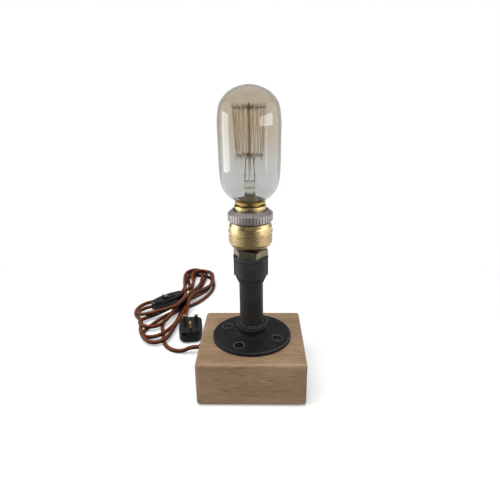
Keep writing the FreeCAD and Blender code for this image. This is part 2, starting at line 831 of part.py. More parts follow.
def holder_barrel():
    """Brass barrel: foot flange, shade-ring thread, rolled lip and two bayonet slots."""
    body = new_body("holder_barrel")
    groove_foot = barrel_top - s.barrel_lip - 1.2
    revolve(body, [
        (barrel_bore, barrel_foot), (cup_radius - s.cup_wall - 0.2, barrel_foot),
        (cup_radius - s.cup_wall - 0.2, cup_top), (s.barrel_radius, cup_top),
        (s.barrel_radius, groove_foot), (s.barrel_radius - s.barrel_groove, groove_foot + 0.4),
        (s.barrel_radius - s.barrel_groove, barrel_top - s.barrel_lip),
        (s.barrel_radius, barrel_top - s.barrel_lip + 0.4), (s.barrel_radius, barrel_top),
        (barrel_bore, barrel_top)])
    dress(body, "Fillet", ring_edge(s.barrel_radius, barrel_top), 0.9)
    room = s.bayonet_pin_radius + s.bayonet_clearance
    bore = number_of(barrel_bore)
    side = math.degrees(math.asin(number_of(room) / bore))
    sweep = number_of(s.bayonet_turn) + side
    low = bayonet_height - room - s.plunger_travel
    leg = new_sketch(body, "XZ_Plane")
    draw_polygon(leg, [(barrel_bore - 1.0, low), (s.barrel_radius + 1.0, low),
                       (s.barrel_radius + 1.0, bayonet_height + room),
                       (barrel_bore - 1.0, bayonet_height + room)])
    turn = body.newObject("PartDesign::Groove", "holder_barrel_leg")
    turn.Profile = leg
    turn.ReferenceAxis = (leg, ["V_Axis"])
    turn.Type = 4
    turn.Angle = side
    turn.Angle2 = sweep
    turn.Reversed = True
    doc.recompute()
    entry_angle = math.radians(number_of(s.bayonet_turn))
    across = (-math.sin(entry_angle), math.cos(entry_angle))
    along = (math.cos(entry_angle), math.sin(entry_angle))
    entry = new_sketch(body, "XY_Plane", low)
    inside, outside = barrel_bore - 1.0, s.barrel_radius + 1.0
    draw_polygon(entry, [
        (inside * along[0] + room * across[0], inside * along[1] + room * across[1]),
        (inside * along[0] - room * across[0], inside * along[1] - room * across[1]),
        (outside * along[0] - room * across[0], outside * along[1] - room * across[1]),
        (outside * along[0] + room * across[0], outside * along[1] + room * across[1])])
    slot = pocket(body, entry, s.barrel_height)
    repeat(body, [turn, slot], 2)
    return body


def holder_insulator():
    """Moulded insert that carries the two sprung contacts and their terminals."""
    body = new_body("holder_insulator")
    outer = cup_radius - s.cup_wall - 0.2
    inner = barrel_bore - 0.1
    revolve(body, [
        (0, insulator_foot - s.insulator_drop), (inner, insulator_foot - s.insulator_drop),
        (inner, insulator_foot), (outer, insulator_foot), (outer, barrel_foot),
        (inner, barrel_foot), (inner, insulator_top), (0, insulator_top)])
    wells = new_sketch(body, "XY_Plane", insulator_foot)
    stems = new_sketch(body, "XY_Plane", insulator_foot - s.insulator_drop)
    screws = new_sketch(body, "XY_Plane", insulator_foot - s.insulator_drop)
    for side in (-1, 1):
        draw_circle(wells, (0, s.plunger_spacing * side / 2), s.plunger_radius + s.running_fit)
        draw_circle(stems, (0, s.plunger_spacing * side / 2), s.plunger_stem_radius + s.running_fit)
        draw_circle(screws, (s.terminal_place * side, 0), s.terminal_radius * 0.5)
    pocket(body, wells, s.insulator_rise + s.barrel_flange + s.insulator_flange + 1.0)
    pocket(body, stems, s.insulator_drop + 1.0)
    pocket(body, screws, 4.0)
    return body


def contact_plungers():
    """Two brass plungers that the lamp's contacts press down."""
    head, stem = number_of(s.plunger_radius), number_of(s.plunger_stem_radius)
    top = number_of(plunger_top)
    shoulder = top - number_of(s.plunger_head)
    foot = number_of(insulator_foot - s.insulator_drop) + 0.4
    pair = []
    for side in (-1, 1):
        y = side * number_of(s.plunger_spacing) / 2
        bar = cylinder((0, y, shoulder), (0, y, top), head)
        pin = cylinder((0, y, foot), (0, y, shoulder), stem)
        pair.append(bar.fuse(pin).removeSplitter())
    return plain_feature("contact_plungers", Part.makeCompound(pair))


def plunger_springs():
    """A coil spring round each plunger's stem, in its well."""
    wire = number_of(s.spring_wire_radius)
    mean = (number_of(s.plunger_stem_radius) + number_of(s.plunger_radius)) / 2
    foot = number_of(insulator_foot) + wire + 0.05
    height = number_of(plunger_top - s.plunger_head) - wire - 0.05 - foot
    coil = spring_coil(wire, mean, height, int(number_of(s.spring_turns)))
    coils = []
    for side in (-1, 1):
        copy = coil.copy()
        copy.translate(FreeCAD.Vector(0, side * number_of(s.plunger_spacing) / 2, foot))
        coils.append(copy)
    return plain_feature("plunger_springs", Part.makeCompound(coils))


def spring_coil(wire, mean, height, turns):
    """A coil of six-sided wire, lofted through sections along its helix."""
    steps, sides = 12, 6
    slope = math.atan2(height, 2 * math.pi * mean * turns)
    sections = []
    for i in range(steps * turns + 1):
        turn = 2 * math.pi * i / steps
        outward = FreeCAD.Vector(math.cos(turn), math.sin(turn), 0)
        upward = FreeCAD.Vector(math.sin(turn) * math.sin(slope),
                                -math.cos(turn) * math.sin(slope), math.cos(slope))
        middle = outward * mean + FreeCAD.Vector(0, 0, height * i / (steps * turns))
        corners = []
        for k in range(sides):
            corner = 2 * math.pi * k / sides
            corners.append(middle + outward * (wire * math.cos(corner))
                           + upward * (wire * math.sin(corner)))
        sections.append(Part.makePolygon(corners + corners[:1]))
    return Part.makeLoft(sections, True, True)


def terminal_screws():
    """Two brass terminal screws under the insulator."""
    foot = number_of(insulator_foot - s.insulator_drop)
    head = number_of(s.terminal_radius)
    pair = []
    for side in (-1, 1):
        x = side * number_of(s.terminal_place)
        cap = cylinder((x, 0, foot - number_of(s.terminal_height)), (x, 0, foot), head)
        shank = cylinder((x, 0, foot), (x, 0, foot + 3.8), head * 0.5)
        slot = Part.makeBox(head * 3, 0.7, 0.6,
                            FreeCAD.Vector(x - head * 1.5, -0.35, foot - number_of(s.terminal_height)))
        pair.append(cap.fuse(shank).removeSplitter().cut(slot))
    return plain_feature("terminal_screws", Part.makeCompound(pair))


def shade_ring():
    """Knurled ring on the barrel's thread, with a sloping mouth and a tapered foot."""
    body = new_body("shade_ring")
    foot = collar_top + s.ring_gap
    band_foot = foot + s.ring_foot
    band_top = band_foot + s.ring_band
    top = foot + s.ring_height
    seat = s.barrel_radius + s.running_fit
    revolve(body, [
        (seat, foot), (ring_foot_radius, foot), (ring_radius - s.knurl_depth, band_foot),
        (ring_radius, band_foot + 0.8), (ring_radius, band_top),
        (ring_mouth_radius + 1.0, top), (ring_mouth_radius, top),
        (ring_mouth_radius, foot + s.ring_seat + 0.6), (seat, foot + s.ring_seat)])
    notch = new_sketch(body, "XY_Plane", foot)
    deep, wide = ring_radius - s.knurl_depth, ring_radius + 0.5
    draw_polygon(notch, [(deep, 0), (wide, -s.knurl_width / 2), (wide, s.knurl_width / 2)])
    groove = pocket(body, notch, s.ring_foot + s.ring_band)
    repeat(body, [groove], s.knurl_count)
    return body


# ---------------------------------------------------------------- lamp

def bulb_cap():
    """Brass bayonet cap with a flared rim under the glass."""
    body = new_body("bulb_cap")
    inner = cap_radius - s.cap_wall
    revolve(body, [
        (inner, cap_foot), (cap_radius - 0.2, cap_foot), (cap_radius, cap_foot + 0.2),
        (cap_radius, rim_foot - 0.2), (cap_rim_radius, rim_foot), (cap_rim_radius, rim_top),
        (cap_rim_radius - s.cap_wall, rim_top), (cap_rim_radius - s.cap_wall, rim_foot + 0.6),
        (inner, rim_foot)])
    holes = new_sketch(body, "YZ_Plane", -cap_rim_radius)
    draw_circle(holes, (0, bayonet_height), s.bayonet_pin_radius)
    pocket(body, holes, cap_rim_radius * 2)
    return body


def cap_pins():
    """The two bayonet pins."""
    radius, height = number_of(s.bayonet_pin_radius), number_of(bayonet_height)
    start = number_of(cap_radius - s.cap_wall) - 0.6
    reach = number_of(pin_reach)
    pins = [cylinder((side * start, 0, height), (side * reach, 0, height), radius)
            for side in (-1, 1)]
    return plain_feature("cap_pins", Part.makeCompound(pins))


def cap_insulator():
    """Black glass plate in the foot of the cap."""
    body = new_body("cap_insulator")
    radius = cap_radius - s.cap_wall
    foot = cap_foot - 0.3
    revolve(body, [(0, foot), (radius - 1.2, foot), (radius, cap_foot),
                   (radius, cap_foot + s.cap_insulator), (0, cap_foot + s.cap_insulator)])
    return body


def cap_contacts():
    """Two solder contacts that meet the plungers."""
    high = number_of(cap_foot) - 0.3
    low = number_of(contact_foot)
    radius = number_of(s.contact_radius)
    pair = []
    for side in (-1, 1):
        y = side * number_of(s.plunger_spacing) / 2
        base = FreeCAD.Vector(0, y, low)
        pair.append(Part.makeCone(radius * 0.75, radius, high - low, base))
    return plain_feature("cap_contacts", Part.makeCompound(pair))


def glass_points():
    """Half outline of the glass: from inside the cap's rim, then as shares of its size."""
    shares = ((0.672, 0.036), (0.81, 0.08), (0.9, 0.125), (0.955, 0.19), (0.984, 0.32),
              (0.992, 0.52), (1.0, 0.68), (0.975, 0.77), (0.93, 0.835), (0.84, 0.885),
              (0.61, 0.948), (0.33, 0.985), (0.0, 1.0))
    radius, height, foot = number_of(s.glass_radius), number_of(s.glass_height), number_of(rim_top)
    start = FreeCAD.Vector(number_of(cap_rim_radius - s.cap_wall - s.glass_neck_fit), 0, foot)
    return [start] + [FreeCAD.Vector(r * radius, 0, foot + z * height) for r, z in shares]


def bulb_glass():
    """Tubular glass envelope: a thin shell on a neck that is cemented into the cap."""
    wall, neck = number_of(s.glass_wall), number_of(glass_neck_radius)
    foot = number_of(rim_top - s.glass_neck_depth)
    outer = Part.BSplineCurve()
    points = glass_points()
    rise, crown = FreeCAD.Vector(0.75, 0, 0.65), FreeCAD.Vector(-1, 0, 0)
    outer.interpolate(Points=points, InitialTangent=rise, FinalTangent=crown, Scale=False)
    shell = []
    for i, point in enumerate(points):
        tangent = outer.tangent(outer.parameter(point))[0]
        inward = FreeCAD.Vector(-tangent.z, 0, tangent.x)
        shell.append(point + inward * wall)
    shell[-1] = FreeCAD.Vector(0, 0, points[-1].z - wall)
    inner = Part.BSplineCurve()
    inner.interpolate(Points=shell, InitialTangent=rise, FinalTangent=crown, Scale=False)
    corners = [points[0], FreeCAD.Vector(neck, 0, points[0].z - 1.5), FreeCAD.Vector(neck, 0, foot),
               FreeCAD.Vector(neck - wall, 0, foot),
               FreeCAD.Vector(neck - wall, 0, shell[0].z - 1.5), shell[0]]
    edges = [Part.LineSegment(a, b).toShape() for a, b in zip(corners, corners[1:])]
    edges += [inner.toShape(), Part.LineSegment(shell[-1], points[-1]).toShape(), outer.toShape()]
    section = Part.Face(Part.Wire(Part.__sortEdges__(edges)))
    solid = section.revolve(FreeCAD.Vector(), FreeCAD.Vector(0, 0, 1), 360)
    return plain_feature("bulb_glass", solid)


def bulb_stem():
    """Flared glass stem with its flat pinch and the glass rod that carries the cage."""
    foot = number_of(rim_top - s.glass_neck_depth) + 2.0
    top = number_of(rim_top + s.stem_height)
    wide, thin = number_of(glass_neck_radius - s.glass_wall), number_of(s.stem_radius)
    outline = [(0, foot), (wide, foot), (wide, foot + 1.2), (thin + 1.6, foot + 9), (thin, foot + 13),
               (thin, top - number_of(s.pinch_height)), (0, top - number_of(s.pinch_height))]
    wire = Part.makePolygon([FreeCAD.Vector(r, 0, z) for r, z in outline + outline[:1]])
    flare = Part.Face(wire).revolve(FreeCAD.Vector(), FreeCAD.Vector(0, 0, 1), 360)
    spread = number_of(s.lead_wire_spread) + 1.4
    pinch = Part.makeBox(2 * spread, 2.4, number_of(s.pinch_height) + 1,
                         FreeCAD.Vector(-spread, -1.2, top - number_of(s.pinch_height) - 1))
    pinch = pinch.makeFillet(0.6, pinch.Edges)
    rod_top = number_of(rim_top + s.cage_foot + s.cage_height)
    rod = cylinder((0, 0, top - 2), (0, 0, rod_top), number_of(s.rod_radius))
    return plain_feature("bulb_stem", flare.multiFuse([pinch, rod]).removeSplitter())


def stem_leads():
    """Two wires from the pinch up to the cage."""
    low = number_of(rim_top + s.stem_height)
    high = number_of(rim_top + s.cage_foot) - 1.6
    spread, radius = number_of(s.lead_wire_spread), number_of(s.lead_wire_radius)
    inward = spread - number_of(s.lead_wire_lean)
    wires = [cylinder((side * spread, 0, low), (side * inward, 0, high), radius) for side in (-1, 1)]
    return plain_feature("stem_leads", Part.makeCompound(wires))


def filament_supports():
    """Two hubs on the rod, each with a star of hooked wires."""
    arm = number_of(s.cage_arm_radius)
    hub, tall = number_of(s.cage_hub_radius), number_of(s.cage_hub_height)
    rod = number_of(s.rod_radius)
    count = int(number_of(s.cage_arm_count))
    stars = []
    for level, radius, lift, shift in ((s.cage_foot, s.cage_foot_radius, -1.0, 0.0),
                                       (s.cage_foot + s.cage_height, s.cage_top_radius, 1.0, 0.5)):
        z, reach = number_of(rim_top + level), number_of(radius)
        bead = Part.makeCylinder(hub, tall, FreeCAD.Vector(0, 0, z - tall / 2))
        bead = bead.cut(Part.makeCylinder(rod, tall * 2, FreeCAD.Vector(0, 0, z - tall)))
        arms = [turned(cylinder((rod + 0.4, 0, z + lift), (reach, 0, z), arm), (i + shift) * 360 / count)
                for i in range(count)]
        stars.append(bead.multiFuse(arms))
    return plain_feature("filament_supports", Part.makeCompound(stars))


def filament():
    """Squirrel-cage filament: strands that zigzag between the two stars."""
    low, high = number_of(rim_top + s.cage_foot), number_of(rim_top + s.cage_foot + s.cage_height)
    radius, gap = number_of(s.strand_radius), number_of(s.cage_arm_radius) + 0.05
    inner, outer = number_of(s.cage_foot_radius) + gap, number_of(s.cage_top_radius) + gap
    count = int(number_of(s.cage_arm_count)) * 2
    strands = []
    for i in range(count):
        a, b = math.radians(i * 360 / count), math.radians((i + 1) * 360 / count)
        foot, head = (a, b) if i % 2 == 0 else (b, a)
        strands.append(cylinder((inner * math.cos(foot), inner * math.sin(foot), low + gap + radius),
                                (outer * math.cos(head), outer * math.sin(head), high - gap - radius), radius))
    return plain_feature("filament", Part.makeCompound(strands))


# ---------------------------------------------------------------- lead

def bush_tip():
    """Where the lead comes out of its bush."""
    return (-number_of(s.block_side / 2 + s.bush_nose), number_of(exit_offset), number_of(s.exit_height))


def inner_lead():
    """The lead inside the lamp: bush, hollow, bore, pipe and nipple."""
    x, y, z = bush_tip()
    radius = number_of(s.cord_radius)
    top = number_of(cup_foot + s.cup_wall + s.nipple_nut) + 0.8
    bend = 10.0
    route = [(x, y, z), (-bend, y, z), (0.0, y - bend, z), (0.0, 0.0, z), (0.0, 0.0, top)]
    return cord_solid("inner_lead", route, radius)


def cord_tube():
    """The stretch that lies on the table between the bush and the hank."""
    z = number_of(s.cord_radius) + 0.1
    x0, y0, z0 = bush_tip()
    route = [(x0, y0, z0), (x0 - 8.0, y0, z0), (-74.0, 34.7, z + 0.5), (-84.0, 37.2, z),
             (-92.3, 44.4, z), (-97.2, 53.6, z), (-98.8, 63.0, z + 0.9)]
    return cord_solid("cord_tube", route, number_of(s.cord_radius))


def plug_lead():
    """The stretch from the waist of the hank to the plug's nose."""
    x, y, z = nose_tip()
    angle = math.radians(number_of(s.plug_turn) + 90)
    ahead = 7.0
    route = [(x, y, z), (x + ahead * math.cos(angle), y + ahead * math.sin(angle), z),
             (x - 1.6, y + 16.5, z + 0.8), (x - 0.9, y + 24.0, z + 1.8)]
    return cord_solid("plug_lead", route, number_of(s.cord_radius))


def nose_tip():
    """The tip of the plug's strain relief, in the lamp's frame."""
    angle = math.radians(number_of(s.plug_turn))
    x = number_of(s.plug_nose_place)
    y = number_of(s.plug_length / 2 + s.plug_nose_length)
    z = number_of(s.plug_split) - number_of(s.plug_nose_radius) - 0.2
    return (PLUG_PLACE[0] + x * math.cos(angle) - y * math.sin(angle),
            PLUG_PLACE[1] + x * math.sin(angle) + y * math.cos(angle), z)


def cord_hank():
    """The closed outer form of the figure-of-eight hank, cut clear of the switch."""
    outline = ((-74.0, 148.0), (-60.0, 159.0), (-54.3, 175.0), (-53.8, 196.0), (-56.0, 219.0),
               (-62.5, 241.0), (-77.0, 252.0), (-92.5, 250.0), (-103.0, 237.5), (-105.2, 218.0),
               (-103.0, 198.0), (-105.5, 183.0), (-115.5, 170.5), (-129.0, 161.0), (-143.0, 153.0),
               (-151.0, 140.0), (-150.5, 121.0), (-142.0, 103.0), (-134.5, 84.0), (-130.5, 66.0),
               (-121.0, 50.0), (-107.0, 43.0), (-94.5, 52.0), (-91.5, 78.0), (-86.0, 100.0),
               (-80.0, 126.0))
    curve = Part.BSplineCurve()
    curve.interpolate(Points=[FreeCAD.Vector(x, y, 0) for x, y in outline], PeriodicFlag=True)
    height, edge = number_of(s.hank_height), number_of(s.hank_edge)
    solid = Part.Face(Part.Wire(curve.toShape())).extrude(FreeCAD.Vector(0, 0, height))
    top = [e for e in solid.Edges if abs(e.BoundBox.ZMin - height) < TINY]
    solid = solid.makeChamfer(edge, top)
    gap = number_of(s.hank_clearance)
    room = Part.makeBox(number_of(s.switch_length) + 2 * gap, number_of(s.switch_width) + 2 * gap, 60,
                        FreeCAD.Vector(-number_of(s.switch_length) / 2 - gap,
                                       -number_of(s.switch_width) / 2 - gap, -1))
    room.Placement = switch_placement()
    return plain_feature("cord_hank", solid.cut(room))


def switch_placement():
    return FreeCAD.Placement(FreeCAD.Vector(SWITCH_PLACE[0], SWITCH_PLACE[1], 0),
                             FreeCAD.Rotation(FreeCAD.Vector(0, 0, 1), number_of(s.switch_turn)))


# ---------------------------------------------------------------- in-line switch

def draw_boat(sketch, length, width, end_width):
    """The switch's plan: bowed sides that close on short straight ends."""
    half, side, end = length / 2, width / 2, end_width / 2
    rise = side - end
    radius = (half * half + rise * rise) / (rise * 2)
    x, y, top = number_of(half), number_of(end), number_of(side)
    corners = ((-half, -end), (half, -end), (half, end), (-half, end))
    sides = (Part.Arc(FreeCAD.Vector(-x, -y), FreeCAD.Vector(0, -top), FreeCAD.Vector(x, -y)),
             Part.LineSegment(FreeCAD.Vector(x, -y), FreeCAD.Vector(x, y)),
             Part.Arc(FreeCAD.Vector(x, y), FreeCAD.Vector(0, top), FreeCAD.Vector(-x, y)),
             Part.LineSegment(FreeCAD.Vector(-x, y), FreeCAD.Vector(-x, -y)))
    for curve in sides:
        sketch.addGeometry(curve, False)
    for i, corner in enumerate(corners):
        sketch.addConstraint(Sketcher.Constraint("Coincident", (i + 3) % 4, 2, i, 1))
        pin_point(sketch, i, 1, corner)
    for bow in (0, 2):
        index = sketch.addConstraint(Sketcher.Constraint("Radius", bow, number_of(radius)))
        sketch.setExpression("Constraints[%d]" % index, radius.text)


def switch_shell(label, foot, height):
    """One half shell of the switch with its cord grooves."""
    body = new_body(label, switch_placement())
    outline = new_sketch(body, "XY_Plane", foot)
    draw_boat(outline, s.switch_length, s.switch_width, s.switch_end_width)
    pad(body, outline, height)
    dress(body, "Fillet", upright_edge, s.switch_corner)
    return body


def cut_cord_groove(body):
    groove = new_sketch(body, "YZ_Plane", -s.switch_length)
    draw_circle(groove, (0, s.switch_split), s.cord_radius + s.running_fit)
    pocket(body, groove, s.switch_length * 2)


def switch_base():
    """Lower shell of the switch."""
    body = switch_shell("switch_base", Size(0.0, "0"), s.switch_split)
    dress(body, "Fillet", flat_edge(0), s.switch_edge * 0.6)
    room = new_sketch(body, "XY_Plane", s.switch_wall)
    draw_box(room, (0, 0), s.switch_length * 0.66, s.switch_width * 0.6)
    pocket(body, room, s.switch_split)
    cut_cord_groove(body)
    cut_switch_screws(body, s.switch_screw_radius, s.switch_height)
    cut_switch_screws(body, s.switch_screw_head, s.switch_screw_sink)
    return body


def cut_switch_screws(body, radius, top):
    """Cuts both screw holes from below the switch up to top."""
    holes = new_sketch(body, "XY_Plane", -1.0)
    for side in (-1, 1):
        draw_circle(holes, (s.switch_screw_place * side, switch_screw_offset * side), radius)
    pocket(body, holes, top + 1.0)


def switch_cover():
    """Upper shell with the rocker's window and the cheeks that hold its pin."""
    body = switch_shell("switch_cover", s.switch_split, s.switch_height - s.switch_split)
    dress(body, "Fillet", flat_edge(s.switch_height), s.switch_edge)
    window = new_sketch(body, "XY_Plane", s.switch_split)
    draw_box(window, (0, 0), s.rocker_length + s.rocker_gap * 2, s.rocker_width + s.rocker_gap * 2)
    pocket(body, window, s.switch_height)
    near = s.rocker_length / 2 + s.rocker_gap + s.switch_wall
    far = s.switch_length / 2 - s.switch_wall * 2
    rooms = new_sketch(body, "XY_Plane", s.switch_split)
    for side in (-1, 1):
        draw_box(rooms, ((near + far) / 2 * side, 0), far - near, s.switch_end_width - s.switch_wall * 2)
    pocket(body, rooms, s.switch_height - s.switch_split - s.switch_wall * 1.4)
    pin = new_sketch(body, "XZ_Plane", -s.switch_width)
    draw_circle(pin, (0, s.switch_height - s.rocker_pin_drop), s.rocker_pin_radius)
    pocket(body, pin, s.switch_width * 2)
    cut_cord_groove(body)
    cut_switch_screws(body, s.switch_screw_radius, s.switch_height - s.switch_wall - 1.0)
    return body


def switch_rocker():
    """See-saw rocker with a dished face, one end pressed at rest."""
    tilt = FreeCAD.Rotation(FreeCAD.Vector(0, 1, 0), number_of(s.rocker_tilt))
    pivot = FreeCAD.Vector(0, 0, number_of(s.switch_height - s.rocker_pin_drop))
    place = switch_placement() * FreeCAD.Placement(pivot, tilt)
    body = new_body("switch_rocker", place)
    half = s.rocker_length / 2 - 0.4
    valley = s.rocker_pin_drop + s.rocker_rise * 0.35
    wing = valley + s.rocker_rise
    brow, hip, keel = wing - s.rocker_rise * 1.6, s.rocker_pin_radius * 3.6, s.rocker_pin_radius * 1.6
    depth = s.rocker_pin_radius * 2.6
    profile = new_sketch(body, "XZ_Plane")
    draw_polygon(profile, [
        (-half, wing), (-half, brow), (-hip, -s.rocker_pin_radius), (-keel, -depth), (keel, -depth),
        (hip, -s.rocker_pin_radius), (half, brow), (half, wing), (0, valley)])
    draw_circle(profile, (0, 0), s.rocker_pin_radius + s.running_fit)
    pad(body, profile, s.rocker_width, midplane=True)
    return body


def rocker_pin():
    """Steel pin through the cover's cheeks and the rocker."""
    z = number_of(s.switch_height - s.rocker_pin_drop)
    reach = number_of(s.rocker_width) / 2 + 2.4
    shape = cylinder((0, -reach, z), (0, reach, z), number_of(s.rocker_pin_radius))
    return plain_feature("rocker_pin", shape, switch_placement())


def switch_screws():
    """Two slotted screws, heads sunk in the underside, that close the switch."""
    head, shank = number_of(s.switch_screw_head) - TINY, number_of(s.switch_screw_radius) - TINY
    sink, slot = number_of(s.switch_screw_sink), number_of(s.switch_screw_slot)
    top = number_of(s.switch_height - s.switch_wall) - 1.4
    pair = []
    for side in (-1, 1):
        x, y = side * number_of(s.switch_screw_place), side * number_of(switch_screw_offset)
        screw = cylinder((x, y, 0.3), (x, y, sink), head).fuse(cylinder((x, y, sink), (x, y, top), shank))
        cut = Part.makeBox(head * 3, slot, slot, FreeCAD.Vector(x - head * 1.5, y - slot / 2, 0.3))
        pair.append(screw.removeSplitter().cut(cut))
    return plain_feature("switch_screws", Part.makeCompound(pair), switch_placement())


# ---------------------------------------------------------------- plug

def plug_placement():
    return FreeCAD.Placement(FreeCAD.Vector(PLUG_PLACE[0], PLUG_PLACE[1], 0),
                             FreeCAD.Rotation(FreeCAD.Vector(0, 0, 1), number_of(s.plug_turn)))


def plug_cover():
    """Rounded back of the plug, which lies on the table, with the lead's nose."""
    body = new_body("plug_cover", plug_placement())
    outline = new_sketch(body, "XY_Plane")
    draw_box(outline, (0, 0), s.plug_width, s.plug_length)
    pad(body, outline, s.plug_split)
    dress(body, "Fillet", upright_edge, s.plug_corner)
    dress(body, "Fillet", flat_edge(0), s.plug_edge)
    hollow = new_sketch(body, "XY_Plane", s.plug_wall)
    draw_box(hollow, (0, 0), s.plug_width - s.plug_wall * 4, s.plug_length - s.plug_wall * 4)
    pocket(body, hollow, s.plug_split)
    return cut_lead_way(body)


def lead_axis_height():
    return s.plug_split - s.plug_nose_radius - 0.2


def cut_lead_way(body):
    way = new_sketch(body, "XZ_Plane", -s.plug_length)
    draw_circle(way, (s.plug_nose_place, lead_axis_height()), s.plug_nose_radius)
    pocket(body, way, s.plug_length, up=True)
    return body


def plug_nose():
    """Tapered strain relief of the plug."""
    turn = FreeCAD.Rotation(FreeCAD.Vector(1, 0, 0), -90)
    axis = FreeCAD.Vector(number_of(s.plug_nose_place), 0, number_of(lead_axis_height()))
    body = new_body("plug_nose", plug_placement() * FreeCAD.Placement(axis, turn))
    bore = s.cord_radius + s.running_fit
    root = s.plug_length / 2
    revolve(body, [
        (bore, root - s.plug_wall * 2), (s.plug_nose_radius, root - s.plug_wall * 2),
        (s.plug_nose_radius, root + 1.0), (s.plug_nose_radius - 0.6, root + s.plug_nose_length),
        (bore, root + s.plug_nose_length)])
    return body


def plug_base():
    """Flat pin side of the plug with its three pin slots and screw hole."""
    body = new_body("plug_base", plug_placement())
    outline = new_sketch(body, "XY_Plane", s.plug_split)
    draw_box(outline, (0, 0), s.plug_width, s.plug_length)
    pad(body, outline, s.plug_height - s.plug_split)
    dress(body, "Fillet", upright_edge, s.plug_corner)
    dress(body, "Fillet", flat_edge(s.plug_height), s.plug_face_edge)
    slots = new_sketch(body, "XY_Plane", s.plug_split)
    for side in (-1, 1):
        draw_box(slots, (s.pin_spacing * side / 2, s.pin_line_place), s.pin_width, s.pin_thickness)
    draw_box(slots, (0, s.pin_earth_place), s.pin_thickness, s.pin_width)
    draw_circle(slots, (0, s.plug_screw_place), s.plug_screw_radius)
    pocket(body, slots, s.plug_height)
    return body


def flat_pin(label, x, y, width, depth, length):
    """One brass blade with a chamfered tip."""
    body = new_body(label, plug_placement())
    outline = new_sketch(body, "XY_Plane", s.plug_split - s.pin_root)
    draw_box(outline, (x, y), width, depth)
    pad(body, outline, s.plug_height - s.plug_split + s.pin_root + length)
    dress(body, "Chamfer", flat_edge(s.plug_height + length), 0.6)
    return body


def line_pin():
    """The blade beside the fuse."""
    return flat_pin("line_pin", s.pin_spacing / 2, s.pin_line_place,
                    s.pin_width, s.pin_thickness, s.pin_length)


def neutral_pin():
    """The blade across from it."""
    return flat_pin("neutral_pin", -s.pin_spacing / 2, s.pin_line_place,
                    s.pin_width, s.pin_thickness, s.pin_length)


def earth_pin():
    """The longer blade that stands crosswise."""
    return flat_pin("earth_pin", Size(0.0, "0"), s.pin_earth_place,
                    s.pin_thickness, s.pin_width, s.pin_length + s.earth_extra)


def plug_fuse():
    """Cartridge fuse beside the line pin."""
    x, z = number_of(s.pin_spacing) / 2, number_of(s.plug_wall + s.fuse_radius)
    high = number_of(s.pin_line_place - s.pin_thickness / 2) - 0.2
    low = high - number_of(s.fuse_length)
    shape = cylinder((x, low, z), (x, high, z), number_of(s.fuse_radius))
    return plain_feature("plug_fuse", shape, plug_placement())


def plug_screw():
    """Screw in the middle of the pin side that holds the two halves."""
    radius = number_of(s.plug_screw_radius)
    top = number_of(s.plug_height) - 0.5
    y = number_of(s.plug_screw_place)
    head = cylinder((0, y, number_of(s.plug_split) + 0.5), (0, y, top), radius - 0.03)
    shank = cylinder((0, y, number_of(s.plug_wall) + TINY), (0, y, number_of(s.plug_split) + 0.5),
                     radius * 0.55)
    slot = Part.makeBox(radius * 3, 0.8, 1, FreeCAD.Vector(-radius * 1.5, y - 0.4, top - 0.6))
    return plain_feature("plug_screw", head.fuse(shank).removeSplitter().cut(slot), plug_placement())


# ---------------------------------------------------------------- the lamp, piece by piece

MAKERS = (
    wood_block, felt_pad, cable_bush, cord_clamp, clamp_screw, floor_flange, flange_screws, pipe,
    coupling, hex_bush, nipple, nipple_nut, holder_cup, holder_collar, holder_barrel,
    holder_insulator, contact_plungers, plunger_springs, terminal_screws, shade_ring, bulb_cap,
    cap_pins, cap_insulator, cap_contacts, bulb_glass, bulb_stem, stem_leads, filament_supports,
    filament, inner_lead, cord_tube, cord_hank, plug_lead, switch_base, switch_cover,
    switch_rocker, rocker_pin, switch_screws, plug_cover, plug_nose, plug_base, line_pin,
    neutral_pin, earth_pin, plug_fuse, plug_screw)

pieces = [maker() for maker in MAKERS]
doc.recompute()

for thing in doc.Objects:
    if "Invalid" in thing.State or "Error" in thing.State:
        raise RuntimeError("%s failed: %s" % (thing.Label, thing.State))
for piece in pieces:
    if piece.Shape.isNull() or not piece.Shape.isValid() or not piece.Shape.Solids:
        raise RuntimeError("%s has no valid solid" % piece.Label)

os.makedirs("parts", exist_ok=True)
for piece in pieces:
    piece.Shape.exportStep("parts/%s.step" % piece.Label)
print("%d nodes written" % len(pieces))
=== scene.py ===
"""Visual model of an industrial pipe table lamp, dressed around its packed construction."""

import logging
import math
from dataclasses import dataclass
from enum import Enum

import bpy
from mathutils import Matrix, Vector

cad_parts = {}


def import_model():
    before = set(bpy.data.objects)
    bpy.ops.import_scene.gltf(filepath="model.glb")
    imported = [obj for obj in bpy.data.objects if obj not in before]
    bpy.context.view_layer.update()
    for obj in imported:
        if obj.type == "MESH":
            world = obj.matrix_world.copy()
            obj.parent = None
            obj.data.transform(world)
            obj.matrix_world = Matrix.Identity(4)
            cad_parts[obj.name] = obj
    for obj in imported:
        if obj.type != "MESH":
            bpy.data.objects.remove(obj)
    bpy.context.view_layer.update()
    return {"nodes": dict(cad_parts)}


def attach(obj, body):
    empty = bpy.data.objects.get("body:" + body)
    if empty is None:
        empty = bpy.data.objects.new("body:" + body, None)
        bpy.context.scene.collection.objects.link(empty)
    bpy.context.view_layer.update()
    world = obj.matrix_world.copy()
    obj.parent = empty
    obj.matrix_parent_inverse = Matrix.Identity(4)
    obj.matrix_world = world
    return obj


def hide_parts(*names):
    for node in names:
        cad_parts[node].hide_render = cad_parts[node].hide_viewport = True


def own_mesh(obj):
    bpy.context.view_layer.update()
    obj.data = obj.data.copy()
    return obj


logging.basicConfig(level=logging.INFO, format="%(message)s")
LOG = logging.getLogger("pipe_lamp")

MM = 0.001

Piece = bpy.types.Object
Material = bpy.types.Material
Socket = bpy.types.NodeSocket
Value = Socket | float
Colour = tuple[float, float, float]
Point = tuple[float, ...]


